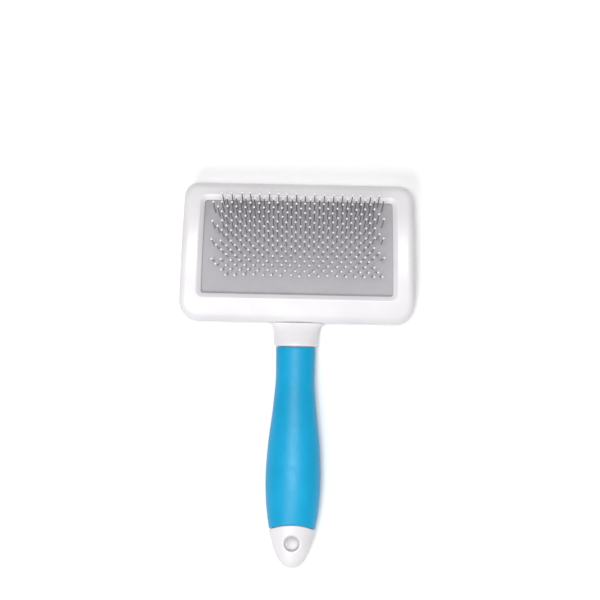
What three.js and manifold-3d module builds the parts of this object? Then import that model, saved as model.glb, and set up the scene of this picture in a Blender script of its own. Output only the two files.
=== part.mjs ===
// Slicker brush for grooming dogs and cats: a wide head on a straight handle, with bent wire pins
// that end in round beads and stand on a curved, sprung pad. Millimetres, +Z up.
//
// The brush lies on its back with its pins up. +Y runs along the handle towards the head, +X runs
// across the head, and the origin is on the surface that it lies on, under the middle of its length.

import * as THREE from "three";
import { mergeVertices } from "three/addons/utils/BufferGeometryUtils.js";
import Module from "manifold-3d";

const wasm = await Module();
wasm.setup();

// ---- driving dimensions -------------------------------------------------------------------

const LENGTH = 180;
const GAP = 0.3; // clearance kept between two neighbouring solids

// Head, in plan: a slightly tapered rectangle with round corners, widest at the handle.
const HEAD = {
  top: LENGTH / 2,
  bottom: 24.9,
  topHalf: 53.4,
  bottomHalf: 55.5,
  topRadius: 6.5,
  bottomRadius: 9.4,
};
const HEAD_WALL = 2.4;

// Window in the front frame that the pad shows through.
const WINDOW = {
  top: 81.5,
  bottom: 37.8,
  topHalf: 43.9,
  bottomHalf: 45.1,
  topRadius: 1.2,
  bottomRadius: 1.2,
};

// The face of the head is bent round one axis, which lies along X below the brush. The pad, its
// cloth and the rows of pins are all bent round that axis too, so each has a radius from it.
const FACE_RADIUS = 80;
const FACE_TOP_Z = 21;
const CURVE_Y = (WINDOW.top + WINDOW.bottom) / 2;
const CURVE_Z = FACE_TOP_Z - FACE_RADIUS;
const FACET_DEG = 3; // one flat facet of every curved layer

// Front frame: a channel section, hollow on the inside, that closes the tray.
const FRAME_DEPTH = 6;
const FRAME_SKIN = 2.2;
const FRAME_ROUNDING = 3;
const LIP_DEPTH = 3;
const LIP_WIDTH = 1.6;
const SLOPE_WIDTH = 2; // the face slopes down to the window all round it
const SLOPE_DEPTH = 1.8;
const EDGE_STEPS = 3; // flat facets of its rounded outer edge

// Tray: the back half of the head.
const TRAY_FLOOR = 2.2;
const BACK_ROUNDING = 7;
const BACK_STEPS = 4;
const BACK_SHARE = 0.85; // the rounding takes this share of the rim's height
const HOLLOW_ROUNDING = 6;
const HOLLOW_STEPS = 2;
const HOLLOW_SHARE = 0.8; // so does the hollow's, less a fixed amount
const HOLLOW_LESS = 1.5;

// Pad and what is under it, from the top down.
const PAD_TOP_RADIUS = FACE_RADIUS - LIP_DEPTH - 0.4;
const PAD_THICKNESS = 1.6;
const CLOTH_THICKNESS = 0.6;
const PAD_HALF_WIDTH = 46.6;
const PAD_HALF_ANGLE = 18;
const FOAM_HALF_WIDTH = 44.5;
const FOAM_HALF_LENGTH = 21.3;

// Pins: rows across the head, each row half a pitch along from the one before, in cycles of four.
const ROW_COUNT = 18;
const PINS_IN_ROW = 18;
const PIN_PITCH = 4.19;
const ROWS_IN_CYCLE = 4;
const FIRST_ROW_STEP = 2;
const FIRST_ROW_DEG = 15;
const LAST_ROW_DEG = -9.4;
const WIRE_SIDE = 0.46;
const KNEE_HEIGHT = 7;
const TIP_HEIGHT = 14;
const KNEE_BEND_DEG = 8;
const SIDE_LEAN = 0.02; // how much further apart the tips of a row stand than its feet
const BEAD_RADIUS = 0.55;
const BEAD_START = 1.8; // the bead widens between these two distances from the tip, in bead radii
const BEAD_MIDDLE = 1;
const BEAD_SIDE = 0.8; // half of the bead's width there, in bead radii

// Handle: half-width and half-depth at places along it, from the collar to the hanging end.
const HANDLE_STATIONS = [
  { y: 13.4, half: 9.3, depth: 6.8 },
  { y: 6, half: 9.15, depth: 6.8 },
  { y: -2, half: 9.1, depth: 6.9 },
  { y: -9.5, half: 9.65, depth: 7.3 },
  { y: -18.5, half: 10.5, depth: 8.0 },
  { y: -27.4, half: 11.6, depth: 8.9 },
  { y: -36, half: 12.4, depth: 9.7 },
  { y: -46, half: 12.9, depth: 10.25 },
  { y: -54, half: 12.8, depth: 10.15 },
  { y: -62, half: 12.25, depth: 9.6 },
  { y: -68, half: 11.45, depth: 8.9 },
  { y: -72, half: 10.8, depth: 8.3 },
  { y: -76, half: 9.95, depth: 7.5 },
  { y: -80, half: 8.85, depth: 6.5 },
  { y: -84, half: 7.3, depth: 5.3 },
  { y: -87, half: 5.45, depth: 4.1 },
  { y: -89.2, half: 2.9, depth: 2.3 },
  { y: -LENGTH / 2, half: 0, depth: 0 },
];
const NECK_STATIONS = [
  { y: 27, half: 15.6, depth: 5.2 },
  { y: 25.4, half: 14.0, depth: 5.2 },
  { y: 24.4, half: 12.4, depth: 5.3 },
  { y: 23.2, half: 11.3, depth: 5.5 },
  { y: 21.5, half: 10.75, depth: 5.8 },
  { y: 18.5, half: 10.4, depth: 6.5 },
  { y: 15, half: 10.25, depth: 7.1 },
  { y: 13.7, half: 10.0, depth: 7.1 },
];
const GRIP_MID_Z = 10.3;
const NECK_MID_Z = 6.8;
const NECK_TOP_Y = 25;
const MID_RISE_LENGTH = 45; // the mid-line rises from the neck to the grip over this length
const THINNEST = 0.05; // a turned wall with a smaller radius than this is left out
const ROUND_SIDES = 24;
const SLEEVE_STEPS = 20;
const CORE_STEPS = 13;
const NECK_STEPS = 10;
const CORE_OVERLAP = 3; // the core runs this far into the neck
const CORE_END_Y = -76; // and ends inside the hanging end
const END_START_Y = -65; // where the hanging end's outside is taken from

// Soft grip sleeve, moulded over the core of the handle.
const SLEEVE_TOP_Y = 13.4;
const SLEEVE_WALL = 2;
const SLEEVE_ARC_RADIUS = 26.4; // the lower end of the sleeve is an arch
const SLEEVE_ARC_TOP_Y = -69.5;
const SLEEVE_ARC_SIDES = 44;
const SLEEVE_END_Y = -78; // further than the arch cuts it off
const BORE_END_Y = -80;

// Hanging hole, with its rim opened out on both faces.
const HOLE_Y = -78.4;
const HOLE_RADIUS = 3.4;
const HOLE_RIM_RADIUS = 5.0;
const HOLE_RIM_DEPTH = 1.7;
const HOLE_RIM_SPARE = 0.6; // the rim's cone is this much longer at both of its ends
const HOLE_HALF_DEPTH = 6.9;
const FACE_TILT_DEG = 14; // how much the handle's faces slope there
const HOLE_SIDES = 20;

// Pegs of the frame, and the bosses in the tray that they go into.
const PEG_RADIUS = 0.9;
const PEG_REACH = 3.6;
const BOSS_RADIUS = 2.3;
const BOSS_BORE_RADIUS = PEG_RADIUS + GAP;
const BOSS_BORE_DEPTH = 3;
const PEG_ROOT = 1.2; // the pegs start this far below the face
const BOSS_INSET = HEAD_WALL + 2;
const BOSS_DROP = 1; // the bosses stop this far below the rim
const BOSS_START = 0.45; // they start from the wall, at this share of the rim's height
const SIDE_BOSS_YS = [36, 57.5, 79];
const BOTTOM_BOSS_X = 24;
const PEG_SIDES = 8;

// The neck is cut away under the frame, where it runs into the head.
const FRAME_ROOM_END_Y = 36;
const FRAME_ROOM_HALF = 19;
const FRAME_ROOM_STEPS = 6;

// Heights that are below and above the whole brush, for cuts that go right through it.
const BELOW_ALL = -10;
const ABOVE_ALL = 40;
const OVERRUN = 1; // how far a cut that ends in the open runs on

// ---- materials ----------------------------------------------------------------------------

function finish(color, roughness, metalness = 0) {
  return new THREE.MeshStandardMaterial({ color, roughness, metalness });
}

const WHITE_ABS = () => finish(0xf3eff2, 0.38);
const BLUE_RUBBER = () => finish(0x3fa9dc, 0.62);
const GREY_RUBBER = () => finish(0xa9a6ab, 0.75);
const COTTON = () => finish(0xd8d2c4, 0.95);
const FOAM = () => finish(0xc9c7c2, 0.95);
const STEEL_WIRE = () => finish(0x9a9a9e, 0.35, 1);

// ---- joining and cutting ------------------------------------------------------------------

function solidOf(geometry) {
  const bare = geometry.clone();
  bare.deleteAttribute("normal");
  bare.deleteAttribute("uv");
  const merged = mergeVertices(bare, 1e-4);
  const vertProperties = new Float32Array(merged.attributes.position.array);
  const triVerts = new Uint32Array(merged.index.array);
  return new wasm.Manifold(new wasm.Mesh({ numProp: 3, vertProperties, triVerts }));
}

function geometryOf(solid) {
  const mesh = solid.getMesh();
  const geometry = new THREE.BufferGeometry();
  geometry.setAttribute("position", new THREE.BufferAttribute(mesh.vertProperties, 3));
  geometry.setIndex(new THREE.BufferAttribute(mesh.triVerts, 1));
  return geometry;
}

function joined(geometries) {
  return geometries.map(solidOf).reduce((whole, piece) => whole.add(piece));
}

function cutBy(solid, geometries) {
  return geometries.map(solidOf).reduce((left, tool) => left.subtract(tool), solid);
}

// ---- shapes that several pieces share -----------------------------------------------------

const radians = THREE.MathUtils.degToRad;

// Angles from 0 to a quarter turn, in equal steps.
function quarterTurn(steps) {
  return Array.from({ length: steps + 1 }, (_, step) => (step / steps) * (Math.PI / 2));
}

// Height of the curved layer of one radius above the place y.
const heightAt = (radius, y) => CURVE_Z + Math.sqrt(radius ** 2 - (y - CURVE_Y) ** 2);
const faceHeight = (y) => heightAt(FACE_RADIUS, y);
const rimHeight = (y) => faceHeight(y) - FRAME_DEPTH - GAP;

// Half-width of a tapered rectangle at the place y.
function halfWidth(quad, y) {
  return THREE.MathUtils.mapLinear(y, quad.bottom, quad.top, quad.bottomHalf, quad.topHalf);
}

// Points round a tapered rectangle with round corners, moved inwards by inset (outwards if it is
// negative). Every outline has the same number of points, so two of them can be joined by a wall.
const ARC_STEPS = 5;
const SIDE_STEPS = 11;
const LEAST_CORNER = 0.4;

function outline(quad, inset) {
  const top = quad.top - inset;
  const bottom = quad.bottom + inset;
  const halfAt = (y) => halfWidth(quad, y) - inset;
  const topRadius = Math.max(quad.topRadius - inset, LEAST_CORNER);
  const bottomRadius = Math.max(quad.bottomRadius - inset, LEAST_CORNER);
  const rightSide = [];
  for (let step = 0; step <= ARC_STEPS; step += 1) {
    const turn = (step / ARC_STEPS - 1) * (Math.PI / 2);
    const y = bottom + bottomRadius * (1 + Math.sin(turn));
    rightSide.push(new THREE.Vector2(halfAt(y) - bottomRadius * (1 - Math.cos(turn)), y));
  }
  const low = bottom + bottomRadius;
  const high = top - topRadius;
  for (let step = 1; step < SIDE_STEPS; step += 1) {
    const y = THREE.MathUtils.lerp(low, high, step / SIDE_STEPS);
    rightSide.push(new THREE.Vector2(halfAt(y), y));
  }
  for (let step = 0; step <= ARC_STEPS; step += 1) {
    const turn = (step / ARC_STEPS) * (Math.PI / 2);
    const y = high + topRadius * Math.sin(turn);
    rightSide.push(new THREE.Vector2(halfAt(y) - topRadius * (1 - Math.cos(turn)), y));
  }
  const leftSide = rightSide.map((point) => new THREE.Vector2(-point.x, point.y)).reverse();
  return [...rightSide, ...leftSide];
}

// A ring of points in space: an outline, with its height given at each of its points.
function ringAt(quad, inset, heightOf) {
  return outline(quad, inset).map((point) => new THREE.Vector3(point.x, point.y, heightOf(point.y)));
}

// One closed surface through a list of rings. Either the last ring joins the first, as in a hoop,
// or the first and last rings are filled in, as in a bowl.
function surfaceThrough(rings, isHoop) {
  const count = rings[0].length;
  const triangles = [];
  const bands = isHoop ? rings.length : rings.length - 1;
  for (let band = 0; band < bands; band += 1) {
    const here = band * count;
    const next = ((band + 1) % rings.length) * count;
    for (let index = 0; index < count; index += 1) {
      const after = (index + 1) % count;
      triangles.push(here + index, here + after, next + after);
      triangles.push(here + index, next + after, next + index);
    }
  }
  if (!isHoop) {
    const last = (rings.length - 1) * count;
    for (let index = 1; index < count - 1; index += 1) {
      triangles.push(0, index + 1, index);
      triangles.push(last, last + index, last + index + 1);
    }
  }
  const geometry = new THREE.BufferGeometry().setFromPoints(rings.flat());
  geometry.setIndex(triangles);
  return geometry;
}

// A profile drawn in Y and Z, extruded across the brush.
function acrossX(profile, halfWidth) {
  const shape = new THREE.Shape(profile);
  const geometry = new THREE.ExtrudeGeometry(shape, { depth: 2 * halfWidth, bevelEnabled: false });
  geometry.translate(0, 0, -halfWidth);
  const shapeToBrush = new THREE.Matrix4().makeBasis(
    new THREE.Vector3(0, 1, 0),
    new THREE.Vector3(0, 0, 1),
    new THREE.Vector3(1, 0, 0),
  );
  return geometry.applyMatrix4(shapeToBrush);
}

// Points along one curved layer, in Y and Z, from one angle to the other.
function arcPoints(radius, fromDeg, toDeg) {
  const steps = Math.round(Math.abs(toDeg - fromDeg) / FACET_DEG);
  const points = [];
  for (let step = 0; step <= steps; step += 1) {
    const turn = radians(THREE.MathUtils.lerp(fromDeg, toDeg, step / steps));
    points.push(new THREE.Vector2(CURVE_Y + radius * Math.sin(turn), CURVE_Z + radius * Math.cos(turn)));
  }
  return points;
}

function curvedLayer(innerRadius, outerRadius) {
  const outer = arcPoints(outerRadius, PAD_HALF_ANGLE, -PAD_HALF_ANGLE);
  const inner = arcPoints(innerRadius, -PAD_HALF_ANGLE, PAD_HALF_ANGLE);
  return acrossX([...outer, ...inner], PAD_HALF_WIDTH);
}

function standingCylinder(x, y, lowZ, highZ, lowRadius, highRadius, sides) {
  const geometry = new THREE.CylinderGeometry(highRadius, lowRadius, highZ - lowZ, sides);
  geometry.rotateX(Math.PI / 2);
  geometry.translate(x, y, (lowZ + highZ) / 2);
  return geometry;
}

// ---- handle -------------------------------------------------------------------------------

function midHeight(y) {
  const share = THREE.MathUtils.clamp((NECK_TOP_Y - y) / MID_RISE_LENGTH, 0, 1);
  return THREE.MathUtils.lerp(NECK_MID_Z, GRIP_MID_Z, Math.sin(share * (Math.PI / 2)));
}

// A turned shape through the stations, smoothed into the given number of steps, flattened to the
// stations' depth and set on the handle's mid-line. It is taken between two places along the
// handle, and made smaller all round by inset.
function turnedHandle(stations, steps, inset, topY, bottomY) {
  const places = stations.map((station) => new THREE.Vector3(station.half, station.y, station.depth));
  const smooth = new THREE.CatmullRomCurve3(places, false, "centripetal").getPoints(steps);
  const taken = smooth.filter((place) => place.y <= topY && place.y >= bottomY);
  const wall = taken.filter((place) => place.x > inset + THINNEST);
  wall.reverse();
  const profile = wall.map((place) => new THREE.Vector2(place.x - inset, place.y));
  const flattening = wall.map((place) => (place.z - inset) / (place.x - inset));
  const closesOnTip = inset === 0 && stations.at(-1).half === 0 && bottomY <= stations.at(-1).y;
  const lowEnd = new THREE.Vector2(0, closesOnTip ? bottomY : profile[0].y);
  const highEnd = new THREE.Vector2(0, profile.at(-1).y);
  const geometry = new THREE.LatheGeometry([lowEnd, ...profile, highEnd], ROUND_SIDES);
  const factors = [1, ...flattening, 1];
  const position = geometry.attributes.position;
  for (let index = 0; index < position.count; index += 1) {
    const factor = factors[index % factors.length];
    position.setZ(index, midHeight(position.getY(index)) + position.getZ(index) * factor);
  }
  return geometry;
}

// The disc whose edge is the arched joint between the sleeve and the hanging end.
function archDisc(radius) {
  const discY = SLEEVE_ARC_TOP_Y - SLEEVE_ARC_RADIUS;
  return standingCylinder(0, discY, BELOW_ALL, ABOVE_ALL, radius, radius, SLEEVE_ARC_SIDES);
}

// The hole goes straight through. The cone that opens out each rim stands square to the face.
function hangingHole() {
  const flare = (HOLE_RIM_RADIUS - HOLE_RADIUS) / HOLE_RIM_DEPTH;
  const lowRadius = HOLE_RADIUS - flare * HOLE_RIM_SPARE;
  const highRadius = HOLE_RIM_RADIUS + flare * HOLE_RIM_SPARE;
  const lowZ = -HOLE_RIM_DEPTH - HOLE_RIM_SPARE;
  const rims = [1, -1].map((side) => {
    const rim = standingCylinder(0, 0, lowZ, HOLE_RIM_SPARE, lowRadius, highRadius, HOLE_SIDES);
    rim.rotateX(radians(FACE_TILT_DEG));
    if (side < 0) rim.rotateY(Math.PI);
    return rim.translate(0, HOLE_Y, GRIP_MID_Z + side * HOLE_HALF_DEPTH);
  });
  const bore = standingCylinder(0, HOLE_Y, BELOW_ALL, ABOVE_ALL, HOLE_RADIUS, HOLE_RADIUS, HOLE_SIDES);
  return [bore, ...rims];
}

function gripSleeve() {
  const outside = solidOf(turnedHandle(HANDLE_STATIONS, SLEEVE_STEPS, 0, SLEEVE_TOP_Y, SLEEVE_END_Y));
  const boreTop = SLEEVE_TOP_Y + CORE_OVERLAP;
  const bore = turnedHandle(extendedStations(), CORE_STEPS, SLEEVE_WALL, boreTop, BORE_END_Y);
  return geometryOf(cutBy(outside, [archDisc(SLEEVE_ARC_RADIUS), bore]));
}

// The handle's stations, carried straight on past the collar so that a core can run into the neck.
function extendedStations() {
  const first = HANDLE_STATIONS[0];
  return [{ ...first, y: SLEEVE_TOP_Y + CORE_OVERLAP }, ...HANDLE_STATIONS];
}

function hangingEnd() {
  const whole = solidOf(turnedHandle(HANDLE_STATIONS, SLEEVE_STEPS, 0, END_START_Y, -LENGTH / 2));
  return geometryOf(whole.intersect(solidOf(archDisc(SLEEVE_ARC_RADIUS - GAP))));
}

// ---- head ---------------------------------------------------------------------------------

function bossPlaces() {
  const sides = SIDE_BOSS_YS.flatMap((y) => {
    const x = halfWidth(HEAD, y) - BOSS_INSET;
    return [{ x: -x, y }, { x, y }];
  });
  const bottom = [-1, 1].map((side) => ({ x: side * BOTTOM_BOSS_X, y: HEAD.bottom + BOSS_INSET }));
  return [...sides, ...bottom];
}

// The tray is a bowl: out from the flat land on its back, up its rounded wall, over the rim, down
// inside, and in across its floor.
function tray() {
  const rounding = (y) => BACK_SHARE * rimHeight(y);
  const hollow = (y) => HOLLOW_SHARE * rimHeight(y) - HOLLOW_LESS;
  const outside = quarterTurn(BACK_STEPS).map((turn) => {
    return ringAt(HEAD, BACK_ROUNDING * (1 - Math.sin(turn)), (y) => rounding(y) * (1 - Math.cos(turn)));
  });
  const rim = [ringAt(HEAD, 0, rimHeight), ringAt(HEAD, HEAD_WALL, rimHeight)];
  const inside = quarterTurn(HOLLOW_STEPS).reverse().map((turn) => {
    const inset = HEAD_WALL + HOLLOW_ROUNDING * (1 - Math.sin(turn));
    return ringAt(HEAD, inset, (y) => TRAY_FLOOR + hollow(y) * (1 - Math.cos(turn)));
  });
  return surfaceThrough([...outside, ...rim, ...inside], false);
}

function bosses() {
  return bossPlaces().map(({ x, y }) => {
    const top = rimHeight(y) - BOSS_DROP;
    return standingCylinder(x, y, BOSS_START * rimHeight(y), top, BOSS_RADIUS, BOSS_RADIUS, PEG_SIDES);
  });
}

function bossBores() {
  return bossPlaces().map(({ x, y }) => {
    const top = rimHeight(y) - BOSS_DROP;
    const bottom = top - BOSS_BORE_DEPTH;
    return standingCylinder(x, y, bottom, top + OVERRUN, BOSS_BORE_RADIUS, BOSS_BORE_RADIUS, PEG_SIDES);
  });
}

// The room that the frame takes where the neck meets the head.
function frameRoom() {
  const start = HEAD.bottom - GAP;
  const profile = [new THREE.Vector2(FRAME_ROOM_END_Y, ABOVE_ALL), new THREE.Vector2(start, ABOVE_ALL)];
  for (let step = 0; step <= FRAME_ROOM_STEPS; step += 1) {
    const y = THREE.MathUtils.lerp(start, FRAME_ROOM_END_Y, step / FRAME_ROOM_STEPS);
    profile.push(new THREE.Vector2(y, rimHeight(Math.max(y, HEAD.bottom))));
  }
  return acrossX(profile, FRAME_ROOM_HALF);
}

function bodyShell() {
  const neck = turnedHandle(NECK_STATIONS, NECK_STEPS, 0, LENGTH / 2, -LENGTH / 2);
  const coreTop = SLEEVE_TOP_Y + CORE_OVERLAP;
  const core = turnedHandle(extendedStations(), CORE_STEPS, SLEEVE_WALL + GAP, coreTop, CORE_END_Y);
  const whole = joined([tray(), neck, core, hangingEnd(), ...bosses()]);
  return geometryOf(cutBy(whole, [frameRoom(), ...bossBores(), ...hangingHole()]));
}

// The frame is a hoop with a channel section: up its outside, over its rounded edge, across its
// face, down the slope to the window and on to the lip, and back along the channel's roof.
function frontFrame() {
  const below = (depth) => (y) => faceHeight(y) - depth;
  const edge = quarterTurn(EDGE_STEPS).map((turn) => {
    const depth = FRAME_ROUNDING * (1 - Math.sin(turn));
    return ringAt(HEAD, FRAME_ROUNDING * (1 - Math.cos(turn)), below(depth));
  });
  const faceOuter = outline(HEAD, FRAME_ROUNDING);
  const faceInner = outline(WINDOW, -SLOPE_WIDTH);
  const faceMiddle = faceOuter.map((point, index) => {
    const middle = point.clone().lerp(faceInner[index], 0.5);
    return new THREE.Vector3(middle.x, middle.y, faceHeight(middle.y));
  });
  const hoop = surfaceThrough(
    [
      ringAt(HEAD, 0, below(FRAME_DEPTH)),
      ...edge,
      faceMiddle,
      ringAt(WINDOW, -SLOPE_WIDTH, faceHeight),
      ringAt(WINDOW, 0, below(SLOPE_DEPTH)),
      ringAt(WINDOW, 0, below(LIP_DEPTH)),
      ringAt(WINDOW, -LIP_WIDTH, below(LIP_DEPTH)),
      ringAt(WINDOW, -LIP_WIDTH, below(FRAME_SKIN)),
      ringAt(HEAD, HEAD_WALL, below(FRAME_SKIN)),
      ringAt(HEAD, HEAD_WALL, below(FRAME_DEPTH)),
    ],
    true,
  );
  const pegs = bossPlaces().map(({ x, y }) => {
    const low = rimHeight(y) - PEG_REACH;
    return standingCylinder(x, y, low, faceHeight(y) - PEG_ROOT, PEG_RADIUS, PEG_RADIUS, PEG_SIDES);
  });
  return geometryOf(joined([hoop, ...pegs]));
}

// ---- pad, cloth and foam ------------------------------------------------------------------

const CLOTH_TOP_RADIUS = PAD_TOP_RADIUS - PAD_THICKNESS - GAP;
const CROWN_TOP_RADIUS = CLOTH_TOP_RADIUS - CLOTH_THICKNESS - GAP;

const rowAngle = (row) => THREE.MathUtils.lerp(FIRST_ROW_DEG, LAST_ROW_DEG, row / (ROW_COUNT - 1));

function rowShift(row) {
  const stepInCycle = (row + FIRST_ROW_STEP) % ROWS_IN_CYCLE;
  return (stepInCycle - (ROWS_IN_CYCLE - 1) / 2) * (PIN_PITCH / 2);
}

const SLOT_END = 0.6; // clearance at each end of a row's slot, where the outer pins lean out

function rowSlots(innerRadius, outerRadius) {
  const length = (PINS_IN_ROW - 1) * PIN_PITCH + WIRE_SIDE + 2 * SLOT_END;
  const depth = outerRadius - innerRadius + 2 * OVERRUN;
  return Array.from({ length: ROW_COUNT }, (_, row) => {
    const slot = new THREE.BoxGeometry(length, WIRE_SIDE + 2 * GAP, depth);
    slot.translate(rowShift(row), 0, (innerRadius + outerRadius) / 2);
    slot.rotateX(-radians(rowAngle(row)));
    return slot.translate(0, CURVE_Y, CURVE_Z);
  });
}

function slottedLayer(innerRadius, outerRadius) {
  const layer = solidOf(curvedLayer(innerRadius, outerRadius));
  return geometryOf(cutBy(layer, rowSlots(innerRadius, outerRadius)));
}

function foamBlock() {
  const half = THREE.MathUtils.radToDeg(Math.asin(FOAM_HALF_LENGTH / PAD_TOP_RADIUS));
  const top = arcPoints(CROWN_TOP_RADIUS - WIRE_SIDE - GAP, half, -half);
  const floor = TRAY_FLOOR + GAP;
  const profile = [...top, new THREE.Vector2(top.at(-1).x, floor), new THREE.Vector2(top[0].x, floor)];
  return acrossX(profile, FOAM_HALF_WIDTH);
}

// ---- pins ---------------------------------------------------------------------------------

// One pin's cross-sections, from its foot on the crown to the bead. Each has a radius from the
// bend's axis, a shift along the row's tangent, and half of its width.
function pinSections() {
  const bend = radians(KNEE_BEND_DEG);
  const kneeRadius = PAD_TOP_RADIUS + KNEE_HEIGHT;
  const alongUpper = (distance, half) => ({
    radius: kneeRadius + distance * Math.cos(bend),
    along: distance * Math.sin(bend),
    half,
  });
  const upperLength = TIP_HEIGHT - KNEE_HEIGHT;
  return [
    { radius: CROWN_TOP_RADIUS, along: 0, half: WIRE_SIDE / 2 },
    { radius: kneeRadius, along: 0, half: WIRE_SIDE / 2 },
    alongUpper(upperLength - BEAD_START * BEAD_RADIUS, WIRE_SIDE / 2),
    alongUpper(upperLength - BEAD_MIDDLE * BEAD_RADIUS, BEAD_SIDE * BEAD_RADIUS),
    alongUpper(upperLength, 0),
  ];
}

const SIDES = [0, 1, 2, 3];

// A mesh that is made point by point and face by face.
class MeshMaker {
  points = [];
  triangles = [];

  add(...places) {
    this.points.push(...places);
    return places.map((_, index) => this.points.length - places.length + index);
  }

  triangle(...corners) {
    this.triangles.push(...corners);
  }

  quad(a, b, c, d) {
    this.triangle(a, b, c);
    this.triangle(a, c, d);
  }

  geometry() {
    const geometry = new THREE.BufferGeometry().setFromPoints(this.points);
    geometry.setIndex(this.triangles);
    return geometry;
  }
}

// One pin, from its foot at x to its tip, open at the foot. Returns the four corners of its foot.
function addPin(mesh, sections, footX) {
  const spread = (radius) => 1 + SIDE_LEAN * ((radius - sections[0].radius) / TIP_HEIGHT);
  const corners = sections.slice(0, -1).map(({ radius, along, half }) => {
    const x = footX * spread(radius);
    return mesh.add(
      new THREE.Vector3(x - half, along - half, radius),
      new THREE.Vector3(x + half, along - half, radius),
      new THREE.Vector3(x + half, along + half, radius),
      new THREE.Vector3(x - half, along + half, radius),
    );
  });
  for (let level = 1; level < corners.length; level += 1) {
    const low = corners[level - 1];
    const high = corners[level];
    SIDES.forEach((side) => mesh.quad(low[side], low[(side + 1) % 4], high[(side + 1) % 4], high[side]));
  }
  const end = sections.at(-1);
  const [tip] = mesh.add(new THREE.Vector3(footX * spread(end.radius), end.along, end.radius));
  const last = corners.at(-1);
  SIDES.forEach((side) => mesh.triangle(last[side], last[(side + 1) % 4], tip));
  return corners[0];
}

// The bar of joined staple crowns under a row of pins, as wide as the wire. Its top is open where
// the pins stand, so that the row is one closed solid.
function addCrownBar(mesh, feet) {
  const first = feet[0];
  const last = feet.at(-1);
  const below = [first[0], last[1], last[2], first[3]].map((corner) => {
    const place = mesh.points[corner].clone();
    place.z -= WIRE_SIDE;
    return mesh.add(place)[0];
  });
  const [backLeft, backRight, frontRight, frontLeft] = below;
  const backEdge = feet.flatMap((foot) => [foot[0], foot[1]]);
  const frontEdge = feet.flatMap((foot) => [foot[3], foot[2]]);
  for (let index = 0; index < backEdge.length - 1; index += 1) {
    mesh.triangle(backLeft, backEdge[index + 1], backEdge[index]);
    mesh.triangle(frontLeft, frontEdge[index], frontEdge[index + 1]);
  }
  mesh.triangle(backLeft, backRight, last[1]);
  mesh.triangle(frontLeft, last[2], frontRight);
  for (let pin = 0; pin < feet.length - 1; pin += 1) {
    mesh.quad(feet[pin][1], feet[pin + 1][0], feet[pin + 1][3], feet[pin][2]);
  }
  mesh.quad(backLeft, first[0], first[3], frontLeft);
  mesh.quad(backRight, frontRight, last[2], last[1]);
  mesh.quad(backLeft, frontLeft, frontRight, backRight);
}

function pinRow(row) {
  const mesh = new MeshMaker();
  const sections = pinSections();
  const feet = Array.from({ length: PINS_IN_ROW }, (_, pin) => {
    const footX = (pin - (PINS_IN_ROW - 1) / 2) * PIN_PITCH + rowShift(row);
    return addPin(mesh, sections, footX);
  });
  addCrownBar(mesh, feet);
  return mesh.geometry();
}

// ---- the brush ----------------------------------------------------------------------------

const brush = new THREE.Group();

function addPiece(name, geometry, material) {
  const mesh = new THREE.Mesh(geometry, material);
  mesh.name = name;
  brush.add(mesh);
  return mesh;
}

addPiece("body_shell", bodyShell(), WHITE_ABS());
addPiece("grip_sleeve", gripSleeve(), BLUE_RUBBER());
addPiece("front_frame", frontFrame(), WHITE_ABS());
addPiece("foam_cushion", foamBlock(), FOAM());
addPiece("pad_sheet", slottedLayer(PAD_TOP_RADIUS - PAD_THICKNESS, PAD_TOP_RADIUS), GREY_RUBBER());
addPiece("foundation_cloth", slottedLayer(CLOTH_TOP_RADIUS - CLOTH_THICKNESS, CLOTH_TOP_RADIUS), COTTON());

for (let row = 0; row < ROW_COUNT; row += 1) {
  const number = String(row + 1).padStart(2, "0");
  const rowMesh = addPiece(`pin_row_${number}`, pinRow(row), STEEL_WIRE());
  rowMesh.position.set(0, CURVE_Y, CURVE_Z);
  rowMesh.rotation.x = -radians(rowAngle(row));
}

export default brush;
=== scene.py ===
# %% [markdown]
# # A slicker brush with a curved head
#
# A slicker brush takes loose hair out of a coat. Its head is a white plastic tray, closed by a
# white frame that holds a grey rubber pad. Hundreds of thin bent wires with round beads stand on
# the pad. The handle is the same white plastic, with a soft blue sleeve moulded over it.
#
# The working model is already packed: its solids say where every piece sits and what moves. This
# lesson loads it as a fixed frame and builds the pieces that the eye sees around it.

# %% Load the working model
import math

import bmesh
import bpy
from mathutils import Matrix, Vector


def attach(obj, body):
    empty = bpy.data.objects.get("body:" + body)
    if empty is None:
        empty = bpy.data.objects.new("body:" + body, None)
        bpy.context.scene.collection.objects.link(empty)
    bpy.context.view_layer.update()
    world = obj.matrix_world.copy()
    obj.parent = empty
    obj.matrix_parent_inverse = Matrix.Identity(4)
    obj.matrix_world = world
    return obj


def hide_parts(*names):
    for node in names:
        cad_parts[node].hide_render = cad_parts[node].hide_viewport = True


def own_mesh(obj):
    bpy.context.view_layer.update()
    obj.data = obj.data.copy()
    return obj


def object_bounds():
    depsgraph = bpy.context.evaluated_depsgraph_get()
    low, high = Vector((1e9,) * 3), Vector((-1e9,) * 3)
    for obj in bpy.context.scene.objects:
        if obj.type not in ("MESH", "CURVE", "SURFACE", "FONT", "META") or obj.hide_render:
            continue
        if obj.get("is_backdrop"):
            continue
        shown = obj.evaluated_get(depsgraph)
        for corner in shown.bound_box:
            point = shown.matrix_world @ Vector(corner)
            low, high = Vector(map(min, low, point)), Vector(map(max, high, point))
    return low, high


MM = 0.001
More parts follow.
